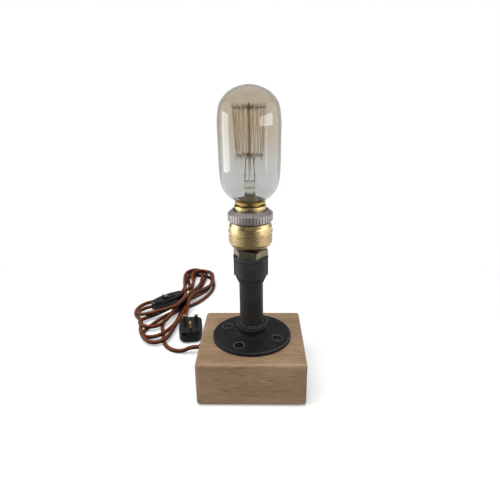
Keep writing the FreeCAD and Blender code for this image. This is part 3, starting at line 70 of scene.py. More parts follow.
class Axis(Enum):
    """The way in which a grain or a brushing runs."""

    X = (1.0, 0.0, 0.0)
    Y = (0.0, 1.0, 0.0)
    Z = (0.0, 0.0, 1.0)


class Ray(Enum):
    """What a light is for."""

    DIFFUSE = "colour"
    GLOSS = "reflection"


def linear(*levels: int) -> Colour:
    """Turns display levels from 0 to 255 into the linear light that a shader is given."""
    shares = [level / 255 for level in levels]
    return tuple(s / 12.92 if s <= 0.04045 else ((s + 0.055) / 1.055) ** 2.4 for s in shares)


def shade(colour: Colour, factor: float) -> Colour:
    """Returns the colour made lighter or darker by a factor."""
    return tuple(min(1.0, part * factor) for part in colour)


class Board:
    """A node tree, and the steps that materials, the floor and the room share."""

    def __init__(self, owner: "Material | bpy.types.World", place: str) -> None:
        """Clears a tree and reads the place in it.

        Args:
            owner: the material or the world.
            place: which coordinates it reads.
        """
        owner.use_nodes = True
        self.tree = owner.node_tree
        self.tree.nodes.clear()
        self.place = self.node("TexCoord").outputs[place]

    def node(self, kind: str, *values: "Value | tuple | bpy.types.Node | None") -> bpy.types.Node:
        """Adds a node.

        Args:
            kind: which shader node.
            values: its first inputs, links or numbers; None leaves one as it is.

        Returns:
            The node.
        """
        node = self.tree.nodes.new("ShaderNode" + kind)
        for target, value in zip(node.inputs, values):
            if value is not None:
                self.feed(target, value)
        return node

    def join(self, source: Socket, target: Socket) -> None:
        """Links two sockets."""
        self.tree.links.new(source, target)

    def feed(self, target: Socket, value: "Value | tuple | bpy.types.Node") -> None:
        """Gives a socket a link or a plain value.

        Args:
            target: the input.
            value: an output or a node to link, or what to set.
        """
        if isinstance(value, bpy.types.Node):
            value = value.outputs[0]
        if isinstance(value, Socket):
            self.join(value, target)
        elif isinstance(value, tuple) and len(value) == 3 and target.type == "RGBA":
            target.default_value = (*value, 1.0)
        else:
            target.default_value = value

    def math(self, operation: str, *values: Value) -> Socket:
        """Adds one step of arithmetic.

        Args:
            operation: the Math node's operation.
            values: its inputs, links or numbers.

        Returns:
            The result.
        """
        node = self.node("Math")
        node.operation = operation
        for target, value in zip(node.inputs, values):
            self.feed(target, value)
        return node.outputs[0]

    def times(self, first: Socket, second: Value) -> Socket:
        """Multiplies two values."""
        return self.math("MULTIPLY", first, second)

    def along(self, axis: "Axis", place: "Socket | None" = None) -> Socket:
        """Reads the tree's place, or another one, along an axis."""
        return self.node("SeparateXYZ", place or self.place).outputs[axis.name]

    def span(self, value: Socket, low: float, high: float, first: float = 0.0,
             last: float = 1.0) -> Socket:
        """Maps a range smoothly onto another, and stops at its ends.

        Args:
            value: what is mapped.
            low: where the range starts.
            high: where it ends.
            first: the result at its start.
            last: the result at its end.

        Returns:
            The mapped value.
        """
        node = self.node("MapRange", value, low, high, first, last)
        node.interpolation_type = "SMOOTHSTEP"
        return node.outputs["Result"]

    def rays(self, *kinds: str) -> Socket:
        """Tells whether a ray is of one of some kinds.

        Args:
            kinds: the kinds, as the light path names them.

        Returns:
            1 for such a ray, else 0.
        """
        path = self.node("LightPath")
        level = path.outputs[f"Is {kinds[0]} Ray"]
        for kind in kinds[1:]:
            level = self.math("MAXIMUM", level, path.outputs[f"Is {kind} Ray"])
        return level


class Recipe(Board):
    """A material and its nodes, written from the pattern down to the surface."""

    EDGE_TILT = (0.995, 0.86)
    GROOVE_LIGHT = (0.92, 0.42)

    def __init__(self, name: str) -> None:
        """Starts an empty material.

        Args:
            name: what the material is called.
        """
        self.material = bpy.data.materials.new(name)
        super().__init__(self.material, "Object")
        self.surface = self.node("BsdfPrincipled")
        self.node("OutputMaterial", self.surface.outputs["BSDF"])

    def stretched(self, scale: Point, turn: Point = (0.0, 0.0, 0.0)) -> Socket:
        """Repeats the place so often per metre along each axis, and turns the pattern."""
        return self.node("Mapping", self.place, None, turn, scale).outputs["Vector"]

    def noise(self, where: Socket, scale: float, detail: float = 4.0, rough: float = 0.55,
              warp: float = 0.0) -> Socket:
        """Adds a cloud of noise.

        Args:
            where: the coordinates.
            scale: the noise's scale.
            detail: how many octaves.
            rough: how strong the fine ones are.
            warp: how much the noise folds on itself.

        Returns:
            A value around one half.
        """
        node = self.node("TexNoise", where, None, scale, detail, rough)
        node.inputs["Distortion"].default_value = warp
        return node.outputs["Fac"]

    def ramp(self, value: Socket, *stops: tuple) -> Socket:
        """Turns a value into a colour or a level.

        Args:
            value: from 0 to 1.
            stops: pairs of a place and a colour or level.

        Returns:
            The ramp's colour.
        """
        node = self.node("ValToRGB", value)
        elements = node.color_ramp.elements
        while len(elements) < len(stops):
            elements.new(0.5)
        for element, (place, tone) in zip(elements, stops):
            element.position = place
            element.color = (*tone, 1.0) if isinstance(tone, tuple) else (tone, tone, tone, 1.0)
        return node.outputs["Color"]

    def mix(self, share: Value, first: "Socket | Colour", second: "Socket | Colour") -> Socket:
        """Mixes two colours.

        Args:
            share: how much of the second.
            first: the colour below.
            second: the colour on top.

        Returns:
            The mixed colour.
        """
        node = self.node("Mix", share)
        node.data_type = "RGBA"
        self.feed(node.inputs[6], first)
        self.feed(node.inputs[7], second)
        return node.outputs[2]

    def edges(self, radius: float) -> Socket:
        """Finds the edges, where a finish wears and where a highlight is painted.

        Args:
            radius: how far from the edge, in metres.

        Returns:
            0 on the faces and up to 1 on an edge.
        """
        rounded = self.node("Bevel", radius)
        rounded.samples = 4
        flat = self.node("NewGeometry").outputs["Normal"]
        compare = self.node("VectorMath", rounded.outputs["Normal"], flat)
        compare.operation = "DOT_PRODUCT"
        return self.span(compare.outputs["Value"], *self.EDGE_TILT)

    def hollows(self, reach: float) -> Socket:
        """Finds the grooves and inner corners, where grime and shadow gather.

        Args:
            reach: how deep a groove it looks for, in metres.

        Returns:
            0 in the open and up to 1 in a groove.
        """
        node = self.node("AmbientOcclusion", None, reach)
        node.samples = 6
        return self.span(node.outputs["AO"], *self.GROOVE_LIGHT)

    def bump(self, *layers: tuple[Socket, float, float]) -> None:
        """Roughens the surface.

        Args:
            layers: for each, its height, its strength and its depth in metres.
        """
        normal = None
        for height, strength, depth in layers:
            node = self.node("Bump", strength)
            node.inputs["Distance"].default_value = depth
            self.join(height, node.inputs["Height"])
            if normal is not None:
                self.join(normal, node.inputs["Normal"])
            normal = node.outputs["Normal"]
        self.join(normal, self.surface.inputs["Normal"])

    def sockets(self, **values: "Value | tuple") -> None:
        """Sets the shader's own sockets, named with underscores for spaces."""
        for name, value in values.items():
            self.feed(self.surface.inputs[name.replace("_", " ")], value)


@dataclass(frozen=True)
class Oak:
    """Light oak, oiled, its grain along X, with a paler edge that is partly worn and partly a
    painted highlight.
    """

    name: str = "light_oak"
    light: Colour = linear(154, 129, 101)
    middle: Colour = linear(136, 110, 82)
    dark: Colour = linear(108, 84, 60)
    pore: Colour = linear(70, 51, 35)
    # colour of the pale edge: partly wear, partly a painted highlight
    edge: Colour = linear(196, 178, 152)
    drift_scale: Point = (7.0, 16.0, 20.0)
    band_scale: Point = (24.0, 170.0, 200.0)
    fibre_scale: Point = (110.0, 800.0, 1000.0)
    pore_scale: Point = (90.0, 1500.0, 1700.0)
    edge_reach: float = 0.0026

    def make(self) -> Material:
        """Builds the material.

        Returns:
            Oak with growth bands, fibres, open pores and a satin oil.
        """
        mat = Recipe(self.name)
        drift = mat.noise(mat.stretched(self.drift_scale), 1.0, 3.0, 0.5, 0.8)
        bands = mat.noise(mat.stretched(self.band_scale, (0.0, 0.06, 0.04)), 1.0, 4.0, 0.65, 1.9)
        fibre = mat.noise(mat.stretched(self.fibre_scale, (0.0, 0.04, 0.03)), 1.0, 5.0, 0.75, 0.6)
        tone = mat.math("ADD", mat.times(bands, 0.4), mat.times(fibre, 0.4))
        tone = mat.math("MULTIPLY_ADD", drift, 0.4, tone)
        colour = mat.ramp(tone, (0.44, self.dark), (0.59, self.middle), (0.73, self.light))
        pores = mat.noise(mat.stretched(self.pore_scale), 1.0, 2.0, 0.6)
        pores = mat.ramp(pores, (0.32, 1.0), (0.42, 0.0))
        colour = mat.mix(mat.times(pores, 0.4), colour, self.pore)
        # painted highlight along the edges, partly real wear
        colour = mat.mix(mat.times(mat.edges(self.edge_reach), 0.7), colour, self.edge)
        oiled = mat.ramp(fibre, (0.3, 0.55), (0.8, 0.42))
        mat.sockets(Base_Color=colour, Roughness=oiled, Specular_IOR_Level=0.55)
        mat.bump((pores, 0.3, -0.0001), (fibre, 0.18, 0.00015), (bands, 0.1, 0.0003))
        return mat.material


@dataclass(frozen=True)
class Metal:
    """A bare, waxed or plated metal with its clouds, marks and grime, painted shade in its grooves,
    and edges that are partly worn and partly a painted highlight.
    """

    name: str
    colour: Colour
    rough: float = 0.35
    metallic: float = 1.0
    cloud: float = 0.2
    cloud_size: float = 55.0
    grain: float = 0.0
    grain_size: float = 900.0
    brushed: "Axis | None" = None
    brush_scale: Point = (25.0, 2600.0)
    # colour of the grime patches, and of the painted shade in the grooves
    grime_and_shade: Colour = (0.02, 0.018, 0.015)
    grime_size: float = 140.0
    grime_share: float = 0.3
    coat: float = 0.0
    # colour of the edges: partly real wear, partly a painted highlight
    wear_and_highlight: "Colour | None" = None
    wear_and_highlight_reach: float = 0.0006
    thread: float = 0.0
    # reach of the painted shade in grooves and inner corners
    groove: float = 0.0
    specular: float = 0.5

    def make(self) -> Material:
        """Builds the material.

        Returns:
            The metal.
        """
        mat = Recipe(self.name)
        clouds = mat.noise(mat.place, self.cloud_size, 5.0, 0.6)
        dark, light = shade(self.colour, 1 - self.cloud), shade(self.colour, 1 + self.cloud)
        tone = mat.ramp(clouds, (0.3, dark), (0.7, light))
        grime_and_groove_shade = mat.noise(mat.place, self.grime_size, 6.0, 0.7, 0.4)
        grime_and_groove_shade = mat.ramp(grime_and_groove_shade, (0.52, 0.0), (0.75, 1.0))
        grime_and_groove_shade = mat.times(grime_and_groove_shade, self.grime_share)
        # painted shade: grooves and inner corners are darkened towards the grime colour, on top of
        # the real grime patches
        if self.groove:
            grime_and_groove_shade = mat.math("MAXIMUM", grime_and_groove_shade, mat.times(mat.hollows(self.groove), 0.85))
        colour = mat.mix(grime_and_groove_shade, tone, self.grime_and_shade)
        # painted highlight along the edges, partly real wear
        if self.wear_and_highlight:
            colour = mat.mix(mat.edges(self.wear_and_highlight_reach), colour, self.wear_and_highlight)
        wear = mat.math("MULTIPLY_ADD", mat.math("SUBTRACT", clouds, 0.5), 0.3, self.rough)
        wear = mat.math("MULTIPLY_ADD", grime_and_groove_shade, 0.25, wear)
        mat.sockets(Base_Color=colour, Metallic=self.metallic, Coat_Weight=self.coat,
                    Coat_Roughness=0.1, Roughness=mat.math("MAXIMUM", wear, 0.06),
                    Specular_IOR_Level=self.specular)
        layers = [(clouds, 0.1, 0.0002)]
        if self.brushed:
            drawn = tuple(self.brush_scale[0 if part else 1] for part in self.brushed.value)
            layers.append((mat.noise(mat.stretched(drawn), 1.0, 2.0, 0.5), 0.12, 0.00006))
        if self.grain:
            layers.append((mat.noise(mat.place, self.grain_size, 3.0, 0.6), self.grain, 0.0003))
        if self.thread:
            turns = mat.times(mat.along(Axis.Z), 2 * math.pi / self.thread)
            layers.append((mat.math("SINE", turns), 1.0, 0.00025))
        mat.bump(*layers)
        return mat.material


@dataclass(frozen=True)
class Moulded:
    """A moulded, fired or pressed body that is no metal."""

    name: str
    colour: Colour
    rough: float = 0.3
    coat: float = 0.0
    texture: float = 0.05
    texture_size: float = 700.0
    sheen: float = 0.0
    specular: float = 0.5

    def make(self) -> Material:
        """Builds the material.

        Returns:
            The body with a faint skin.
        """
        mat = Recipe(self.name)
        clouds = mat.noise(mat.place, 80.0, 4.0)
        skin = mat.noise(mat.place, self.texture_size, 3.0, 0.6)
        tone = mat.ramp(clouds, (0.3, shade(self.colour, 0.8)), (0.7, shade(self.colour, 1.15)))
        wear = mat.math("MULTIPLY_ADD", skin, 0.12, self.rough - 0.06)
        mat.sockets(Base_Color=tone, Roughness=wear, Coat_Weight=self.coat, Coat_Roughness=0.06,
                    Sheen_Weight=self.sheen, Specular_IOR_Level=self.specular)
        mat.bump((skin, self.texture, 0.0002), (clouds, 0.05, 0.0004))
        return mat.material


@dataclass(frozen=True)
class Glass:
    """Blown glass, whose tint may change from one height to another, and whose flare may carry a
    painted reflection.
    """

    name: str
    foot_tint: Colour
    head_tint: Colour
    foot: float = 0.0
    head: float = 1.0
    rough: float = 0.0
    ior: float = 1.45
    ripple: float = 0.03
    smoke_size: float = 14.0
    # how strong the painted shade is where the glass is seen edge on
    edge_on_shade: float = 0.0
    edge_on_shade_facing: Point = (0.62, 0.96)
    flare: float = 0.0
    flare_reach: float = 0.006
    flare_clear: float = 0.2
    # colour of the painted reflection of the brass cap in the stem's flare
    flare_painted_reflection: Colour = (1.0, 1.0, 1.0)

    def make(self) -> Material:
        """Builds the material.

        Returns:
            The glass, faintly uneven as blown glass is, with painted shade where it is seen edge
            on.
        """
        mat = Recipe(self.name)
        level = mat.span(mat.along(Axis.Z), self.foot, self.head)
        smoke = mat.noise(mat.place, self.smoke_size, 2.0)
        level = mat.math("ADD", level, mat.times(mat.math("SUBTRACT", smoke, 0.5), 0.3))
        tint = mat.ramp(level, (0.0, self.foot_tint), (1.0, self.head_tint))
        # painted shade at the silhouette, where the glass is seen edge on
        if self.edge_on_shade:
            facing = mat.node("LayerWeight")
            facing.inputs["Blend"].default_value = 0.5
            edge = mat.times(mat.span(facing.outputs["Facing"], *self.edge_on_shade_facing), self.edge_on_shade)
            tint = mat.mix(edge, tint, shade(self.foot_tint, 0.25))
        clear = 1.0
        # painted reflection: the flare is painted olive and made less clear, for the brass cap
        # reflected in it
        if self.flare:
            foot = self.flare - self.flare_reach
            clear = mat.span(mat.along(Axis.Z), foot, self.flare, self.flare_clear, 1.0)
            tint = mat.mix(clear, self.flare_painted_reflection, tint)
        mat.sockets(Base_Color=tint, Transmission_Weight=clear, Roughness=self.rough, IOR=self.ior)
        mat.bump((mat.noise(mat.stretched((1.0, 1.0, 0.4)), 30.0, 2.0, 0.4), self.ripple, 0.0006))
        return mat.material


@dataclass(frozen=True)
class Braid:
    """Cotton yarns plaited round a lead, drawn on the lead's own UV map."""

    name: str = "braided_cotton"
    yarn: Colour = linear(113, 59, 34)
    shadow: Colour = linear(22, 8, 4)
    yarns: float = 10.0
    pitch: float = 640.0
    # reach of the painted shade where the lead lies close to itself and to the floor
    hollow_shade: float = 0.011
    # painted shade on the faces that look down
    underside_shade: Point = (0.9, 0.05, 0.0, 0.9)

    def make(self) -> Material:
        """Builds the material.

        Returns:
            Two families of yarns, over and under each other in turn, with painted shade between the
            yarns, where the lead lies close to itself and on the underside.
        """
        mat = Recipe(self.name)
        parts = mat.node("SeparateXYZ")
        mat.join(mat.node("UVMap").outputs["UV"], parts.inputs[0])
        around = mat.times(parts.outputs["X"], self.yarns)
        along = mat.times(parts.outputs["Y"], self.pitch)
        right, left = mat.math("ADD", around, along), mat.math("SUBTRACT", around, along)
        cell = mat.math("ADD", mat.math("FLOOR", right), mat.math("FLOOR", left))
        turn = mat.math("PINGPONG", cell, 1.0)
        ridges = []
        for family in (right, left):
            wave = mat.math("ABSOLUTE", mat.math("SINE", mat.times(family, math.pi)))
            ridges.append(mat.math("POWER", wave, 0.6))
        swap = mat.times(turn, mat.math("SUBTRACT", ridges[1], ridges[0]))
        height = mat.math("ADD", ridges[0], swap)
        fuzz = mat.noise(mat.place, 1800.0, 3.0, 0.7)
        patch = mat.noise(mat.place, 60.0, 3.0)
        # painted shade: the yarns' sides and the gaps between them are darker
        side = shade(self.yarn, 0.75)
        tone = mat.ramp(height, (0.0, self.shadow), (0.55, side), (1.0, self.yarn))
        faded = mat.ramp(patch, (0.35, shade(self.yarn, 0.55)), (0.7, shade(self.yarn, 1.3)))
        tone = mat.mix(0.25, tone, faded)
        # painted shade where the lead lies close to itself and to the floor
        tone = mat.mix(mat.times(mat.hollows(self.hollow_shade), 0.85), tone, self.shadow)
        # painted shade: darker where the surface faces down
        tilt = mat.node("SeparateXYZ", mat.node("NewGeometry").outputs["Normal"])
        tone = mat.mix(mat.span(tilt.outputs["Z"], *self.underside_shade), tone, self.shadow)
        mat.sockets(Base_Color=tone, Roughness=0.42, Specular_IOR_Level=0.12)
        mat.bump((height, 0.5, 0.00025), (fuzz, 0.25, 0.0001))
        return mat.material


BRASS = linear(203, 180, 126)
# brass tarnish, and also the colour of the painted shade in the brass's grooves
TARNISH_AND_GROOVE_SHADE = linear(84, 62, 26)


class Finish(Enum):
    """Every finish on the lamp."""

    OAK = Oak()
    FELT = Moulded("dark_felt", linear(52, 52, 56), 0.9, texture=0.6, texture_size=2400.0,
                   sheen=0.3)
    BUSH = Moulded("bush_rubber", linear(30, 32, 38), 0.5, texture=0.1)
    CLAMP = Moulded("clamp_plastic", linear(36, 36, 38), 0.45)
    SCREWS = Metal("blackened_steel", linear(40, 40, 43), 0.42, cloud=0.25,
                   wear_and_highlight=linear(110, 104, 96))
    CAST = Metal(
        "waxed_malleable_iron", linear(50, 50, 54), 0.48, metallic=0.3, cloud=0.35, grain=0.4,
        grain_size=620.0, grime_share=0.5, wear_and_highlight=linear(112, 104, 96), wear_and_highlight_reach=0.0009,
        groove=0.004, specular=0.15)
    FLANGE = Metal(
        "black_waxed_casting", linear(32, 32, 35), 0.5, metallic=0.3, cloud=0.45, grain=0.7,
        grain_size=480.0, grime_share=0.6, wear_and_highlight=linear(124, 121, 119), wear_and_highlight_reach=0.0015,
        groove=0.005, specular=0.05)
    PIPE = Metal(
        "waxed_steel_pipe", linear(50, 48, 47), 0.4, metallic=0.5, cloud=0.35, grain=0.1,
        grain_size=500.0, brushed=Axis.Z, grime_share=0.5, groove=0.003, specular=0.2)
    NICKEL = Metal("dull_nickel", linear(128, 122, 104), 0.32, cloud=0.25, grime_share=0.45,
                   wear_and_highlight=linear(196, 188, 166), groove=0.002)
    THREAD = Metal("threaded_nickel", linear(128, 122, 104), 0.32, cloud=0.25, thread=0.001)
    BRASS = Metal("satin_brass", BRASS, 0.27, cloud=0.12, grime_and_shade=TARNISH_AND_GROOVE_SHADE, grime_share=0.35, coat=0.3,
                  wear_and_highlight=linear(240, 228, 198), wear_and_highlight_reach=0.0003, groove=0.0022)
    INSERT = Moulded("cream_ceramic", linear(226, 220, 204), 0.6)
    SPRING = Metal("spring_wire", linear(190, 190, 190), 0.25)
    RING = Metal("pewter_plate", linear(168, 161, 160), 0.38, metallic=0.8, cloud=0.15,
                 grime_share=0.35, wear_and_highlight=linear(226, 220, 216), wear_and_highlight_reach=0.0003, groove=0.0022)
    CAP = Metal("bright_brass", linear(176, 148, 84), 0.18, cloud=0.12, grime_and_shade=TARNISH_AND_GROOVE_SHADE,
                groove=0.0016)
    CAP_GLASS = Moulded("black_vitrite", linear(22, 22, 24), 0.15, coat=0.5)
    SOLDER = Metal("dull_solder", linear(182, 184, 188), 0.4)
    BULB = Glass(
        "amber_glass", linear(217, 217, 216), linear(211, 204, 190), foot=0.19, head=0.236, edge_on_shade=1.0)
    # the stem's flare carries a painted reflection of the brass cap
    STEM = Glass(
        "clear_stem_glass", linear(240, 240, 228), linear(176, 156, 120), foot=0.186, head=0.21,
        edge_on_shade=0.2, flare=0.179, flare_painted_reflection=linear(178, 158, 76))
    CEMENT = Moulded("ochre_cement", linear(190, 164, 92), 0.5, texture=0.2)
    WIRE = Metal("support_wire", linear(92, 70, 44), 0.4, metallic=0.6)
    BEAD = Moulded("amber_bead", linear(176, 128, 60), 0.2, coat=0.6)
    FILAMENT = Metal("filament_wire", linear(230, 192, 134), 0.6, metallic=0.0)
    BRAID = Braid()
    GLOSS = Moulded("black_gloss_moulding", linear(7, 9, 8), 0.16, texture=0.02, specular=0.25)
    PINS = Metal("bright_pin_brass", linear(210, 184, 120), 0.22)
    FUSE = Moulded("fuse_ceramic", linear(222, 216, 202), 0.5)


SLOTS = {
    "oak": Finish.OAK, "felt": Finish.FELT, "bush_rubber": Finish.BUSH,
    "clamp_plastic": Finish.CLAMP, "black_screws": Finish.SCREWS, "cast_fittings": Finish.CAST,
    "pipe_steel": Finish.PIPE, "nickel": Finish.NICKEL, "holder_brass": Finish.BRASS,
    "holder_insert": Finish.INSERT, "spring_steel": Finish.SPRING, "ring_metal": Finish.RING,
    "amber_glass": Finish.BULB, "cap_brass": Finish.CAP, "cap_glass": Finish.CAP_GLASS,
    "solder": Finish.SOLDER, "stem_glass": Finish.STEM, "lamp_wire": Finish.WIRE,
    "filament_wire": Finish.FILAMENT, "braid": Finish.BRAID, "black_gloss": Finish.GLOSS,
    "pin_brass": Finish.PINS, "fuse_body": Finish.FUSE,
}
OWN_FINISH = {"nipple": Finish.THREAD, "floor_flange": Finish.FLANGE}


class Wardrobe:
    """Makes each finish once and puts it on the construction's nodes."""

    def __init__(self) -> None:
        """Makes every finish."""
        self.made = {finish: finish.value.make() for finish in Finish}

    def dress(self, nodes: dict[str, Piece]) -> None:
        """Puts each node's finish on its material slots.

        Args:
            nodes: the construction's nodes by name.
        """
        for name, node in nodes.items():
            for slot in node.material_slots:
                finish = SLOTS[slot.material.name.split(".")[0]]
                slot.material = self.made[OWN_FINISH.get(name, finish)]
        LOG.info("dressed %d nodes of the construction", len(nodes))


class Bench:
    """The modelling steps that the pieces share, each done by operators on the mesh at hand."""

    @staticmethod
    def start() -> None:
        """Deselects everything, so that an operator reaches only the new piece."""
        bpy.ops.object.select_all(action="DESELECT")

    @staticmethod
    def close() -> None:
        """Turns a form's faces outwards and leaves edit mode."""
        bpy.ops.mesh.select_all(action="SELECT")
        bpy.ops.mesh.normals_make_consistent(inside=False)
        bpy.ops.object.mode_set(mode="OBJECT")

    @staticmethod
    def turned(rings: list[Point], sides: int, closed_foot: bool = False,
               pole: bool = False) -> Piece:
        """Raises a turned form ring by ring, each extruded and sized from the one below.

        Args:
            rings: radius and height of each, in millimetres, from the foot.
            sides: how many corners a ring has.
            closed_foot: whether a face closes the foot, and then the head too.
            pole: whether the last ring closes to a point.

        Returns:
            The form, in object mode.
        """
        Bench.start()
        (radius, height), *rest = rings
        bpy.ops.mesh.primitive_circle_add(
            vertices=sides, radius=radius * MM, location=(0.0, 0.0, height * MM),
            fill_type="NGON" if closed_foot else "NOTHING", enter_editmode=True)
        for wide, high in rest:
            step, share = (high - height) * MM, wide / radius
            bpy.ops.mesh.extrude_region_move(TRANSFORM_OT_translate={"value": (0.0, 0.0, step)})
            bpy.ops.transform.resize(value=(share, share, 1.0),
                                     center_override=(0.0, 0.0, high * MM))
            radius, height = wide, high
        if pole:
            bpy.ops.mesh.merge(type="CENTER")
        Bench.close()
        return bpy.context.active_object

    @staticmethod
    def wire(path: list[Point], radius: float, sides: int) -> Piece:
        """Draws a wire along a path in the XZ plane, its end extruded and turned at each point.

        Args:
            path: x and z of each point, in millimetres.
            radius: the wire's, in millimetres.
            sides: of its section.

        Returns:
            The wire, in object mode.
        """
        Bench.start()
        runs = [(b[0] - a[0], b[1] - a[1]) for a, b in zip(path, path[1:])]
        headings = [math.atan2(x, z) for x, z in runs]
        bpy.ops.mesh.primitive_circle_add(
            vertices=sides, radius=radius * MM, rotation=(0.0, headings[0], 0.0),
            location=(path[0][0] * MM, 0.0, path[0][1] * MM), fill_type="NGON", enter_editmode=True)
        facing = headings[0]
        following = headings[1:] + headings[-1:]
        for (x, z), (dx, dz), now, then in zip(path[1:], runs, headings, following):
            step = (dx * MM, 0.0, dz * MM)
            bpy.ops.mesh.extrude_region_move(TRANSFORM_OT_translate={"value": step})
            middle = now + math.remainder(then - now, 2 * math.pi) / 2
            turn = math.remainder(middle - facing, 2 * math.pi)
            if abs(turn) > 1e-4:
                bpy.ops.transform.rotate(value=-turn, orient_axis="Y",
                                         center_override=(x * MM, 0.0, z * MM))
            facing = middle
        Bench.close()
        bpy.ops.object.transform_apply()
        return bpy.context.active_object

    @staticmethod
    def ringed(piece: Piece, count: int, first: float = 0.0) -> list[Piece]:
        """Copies a piece round Z, each copy with its own mesh.

        Args:
            piece: what is repeated; it becomes the first one.
            count: how many there are in the end.
            first: where the first one stands, in degrees.

        Returns:
            All of them.
        """
        pieces = [piece]
        for _ in range(count - 1):
            copy = piece.copy()
            copy.data = piece.data.copy()
            bpy.context.scene.collection.objects.link(copy)
            pieces.append(copy)
        for k, one in enumerate(pieces):
            one.data.transform(Matrix.Rotation(math.radians(first + k * 360 / count), 4, "Z"))
        return pieces

    @staticmethod
    def joined(pieces: list[Piece], name: str, material: Material,
               smooth: float = 40.0) -> Piece:
        """Makes one piece of several, places it in its mesh and dresses it.

        Args:
            pieces: what it consists of.
            name: the finished piece's.
            material: its finish.
            smooth: below which angle an edge is smooth, in degrees.

        Returns:
            The finished piece.
        """
        Bench.start()
        for one in pieces:
            one.select_set(True)
        bpy.context.view_layer.objects.active = pieces[0]
        if len(pieces) > 1:
            bpy.ops.object.join()
        whole = bpy.context.active_object
        bpy.ops.object.transform_apply()
        bpy.ops.object.shade_smooth_by_angle(angle=math.radians(smooth))
        whole.name = name
        whole.data.materials.clear()
        whole.data.materials.append(material)
        return whole


@dataclass
class Lamp:
    """The lamp's glass and its squirrel cage, in millimetres above the table."""

    wardrobe: Wardrobe
    rim_top: float = 171.4
    neck_radius: float = 10.3
    neck_foot: float = 162.4
    mouth_radius: float = 12.2
    radius: float = 25.6
    height: float = 91.0
    wall: float = 0.8
    shares: tuple = (
        (0.672, 0.036), (0.81, 0.08), (0.9, 0.125), (0.955, 0.19), (0.984, 0.32), (0.992, 0.52),
        (1.0, 0.68), (0.975, 0.77), (0.93, 0.835), (0.84, 0.885), (0.61, 0.948), (0.33, 0.985))
    sides: int = 96
    cage_foot: float = 208.9
    cage_head: float = 244.9
    foot_radius: float = 10.3
    head_radius: float = 12.6
    arms: int = 21
    sway: float = 1.5
    bends: tuple = (
        (0.0, 1.3, 0.0, 0), (0.3, 0.0, 1.6, 1), (0.55, 0.0, -0.9, 1), (0.78, 0.0, 1.0, -1),
        (1.0, -0.6, 0.2, 0), (1.0, 0.1, 1.8, 1), (1.0, 0.9, 2.2, 1), (1.0, 1.1, 0.9, 0),
        (1.0, 0.3, -0.3, 0), (1.0, -0.8, -0.1, 0))
    arm_radius: float = 0.13
    strand_radius: float = 0.13
    thin_sides: int = 5
    bead_sides: int = 20
    cement_sides: int = 48
    pinch_top: float = 186.9
    lead_spread: float = 3.9
    lead_radius: float = 0.28
    lead_bends: tuple = ((0.95, 0.0), (1.06, 4.0), (0.93, 11.0), (0.82, 17.0))
    weld_rise: float = 5.0
    foot_bead: Point = (1.9, 3.4)
    head_bead: Point = (1.6, 2.6)
    bead_shape: tuple = ((0.55, -0.5), (0.9, -0.25), (1.0, 0.0), (0.9, 0.25), (0.55, 0.5))
    tip_shape: tuple = ((1.0, 0.05), (1.25, 1.2), (1.15, 2.4), (0.7, 3.6), (0.25, 4.3))
    cement_shape: tuple = ((7.2, 1.1), (9.2, 1.3), (9.2, 1.9), (7.6, 2.4), (4.6, 2.6))

    def outline(self) -> list[Point]:
        """Rounds the glass's outline between its measured points.

        Returns:
            Radius and height of each ring, foot to crown.
        """
        knots = [(self.neck_radius, self.rim_top - 1.5), (self.mouth_radius, self.rim_top)]
        knots += [(self.radius * r, self.rim_top + self.height * z) for r, z in self.shares]
        top = self.rim_top + self.height
        knots += [(0.6, top)]
        rings = [(self.neck_radius, self.neck_foot), (self.neck_radius, self.rim_top - 3.0)]
        mirrored = (-knots[-2][0], knots[-2][1])
        for before, start, end, after in zip([rings[-1]] + knots, knots, knots[1:],
                                             knots[2:] + [mirrored]):
            steps = max(2, round(math.dist(start, end) / 2.2))
            for n in range(steps):
                t = n / steps
                rings.append(tuple(
                    0.5 * (2 * b + (c - a) * t + (2 * a - 5 * b + 4 * c - d) * t * t
                           + (3 * b - a - 3 * c + d) * t ** 3)
                    for a, b, c, d in zip(before, start, end, after)))
        return rings + [(0.6, top)]

    def glass(self) -> None:
        """Blows the glass: a smooth envelope with a real wall."""
        shell = Bench.turned(self.outline(), self.sides, pole=True)
        wall = shell.modifiers.new("wall", "SOLIDIFY")
        wall.thickness, wall.offset = self.wall * MM, -1.0
        bpy.ops.object.modifier_apply(modifier="wall")
        glass = Bench.joined([shell], "glass_envelope", self.wardrobe.made[Finish.BULB], 80.0)
        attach(glass, "bulb")
        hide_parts("bulb_glass")

    def star(self, height: float, radius: float, rise: float, first: float) -> list[Piece]:
        """Bends one hooked arm and sets a ring of them round the rod.

        Args:
            height: of the ring.
            radius: out to the hooks.
            rise: 1 for hooks that stand up, -1 for hooks that hang down.
            first: where the first arm points, in degrees.

        Returns:
            The arms.
        """
        arms = []
        for k in range(3):
            sway = self.sway * (k - 1)
            path = [(radius * share + out, height + rise * (up + sway * swayed))
                    for share, out, up, swayed in self.bends]
            arm = Bench.wire(path, self.arm_radius, self.thin_sides)
            arms += Bench.ringed(arm, self.arms // 3, first + k * 360 / self.arms)
        return arms

    def strands(self) -> list[Piece]:
        """Strings the filament to and fro between the hooks.

        Returns:
            The strands, two from each hook.
        """
        half = math.radians(180 / self.arms)
        pieces = []
        for side in (-1, 1):
            low = Vector((self.foot_radius + 0.5, 0.0, self.cage_foot))
            reach = self.head_radius + 0.5
            high = Vector((reach * math.cos(half), side * reach * math.sin(half), self.cage_head))
            run = high - low
            Bench.start()
            bpy.ops.mesh.primitive_cylinder_add(
                vertices=self.thin_sides, radius=self.strand_radius * MM, depth=run.length * MM,
                location=(low + high) * MM / 2, rotation=run.to_track_quat("Z", "X").to_euler())
            bpy.ops.object.transform_apply()
            pieces += Bench.ringed(bpy.context.active_object, self.arms)
        return pieces

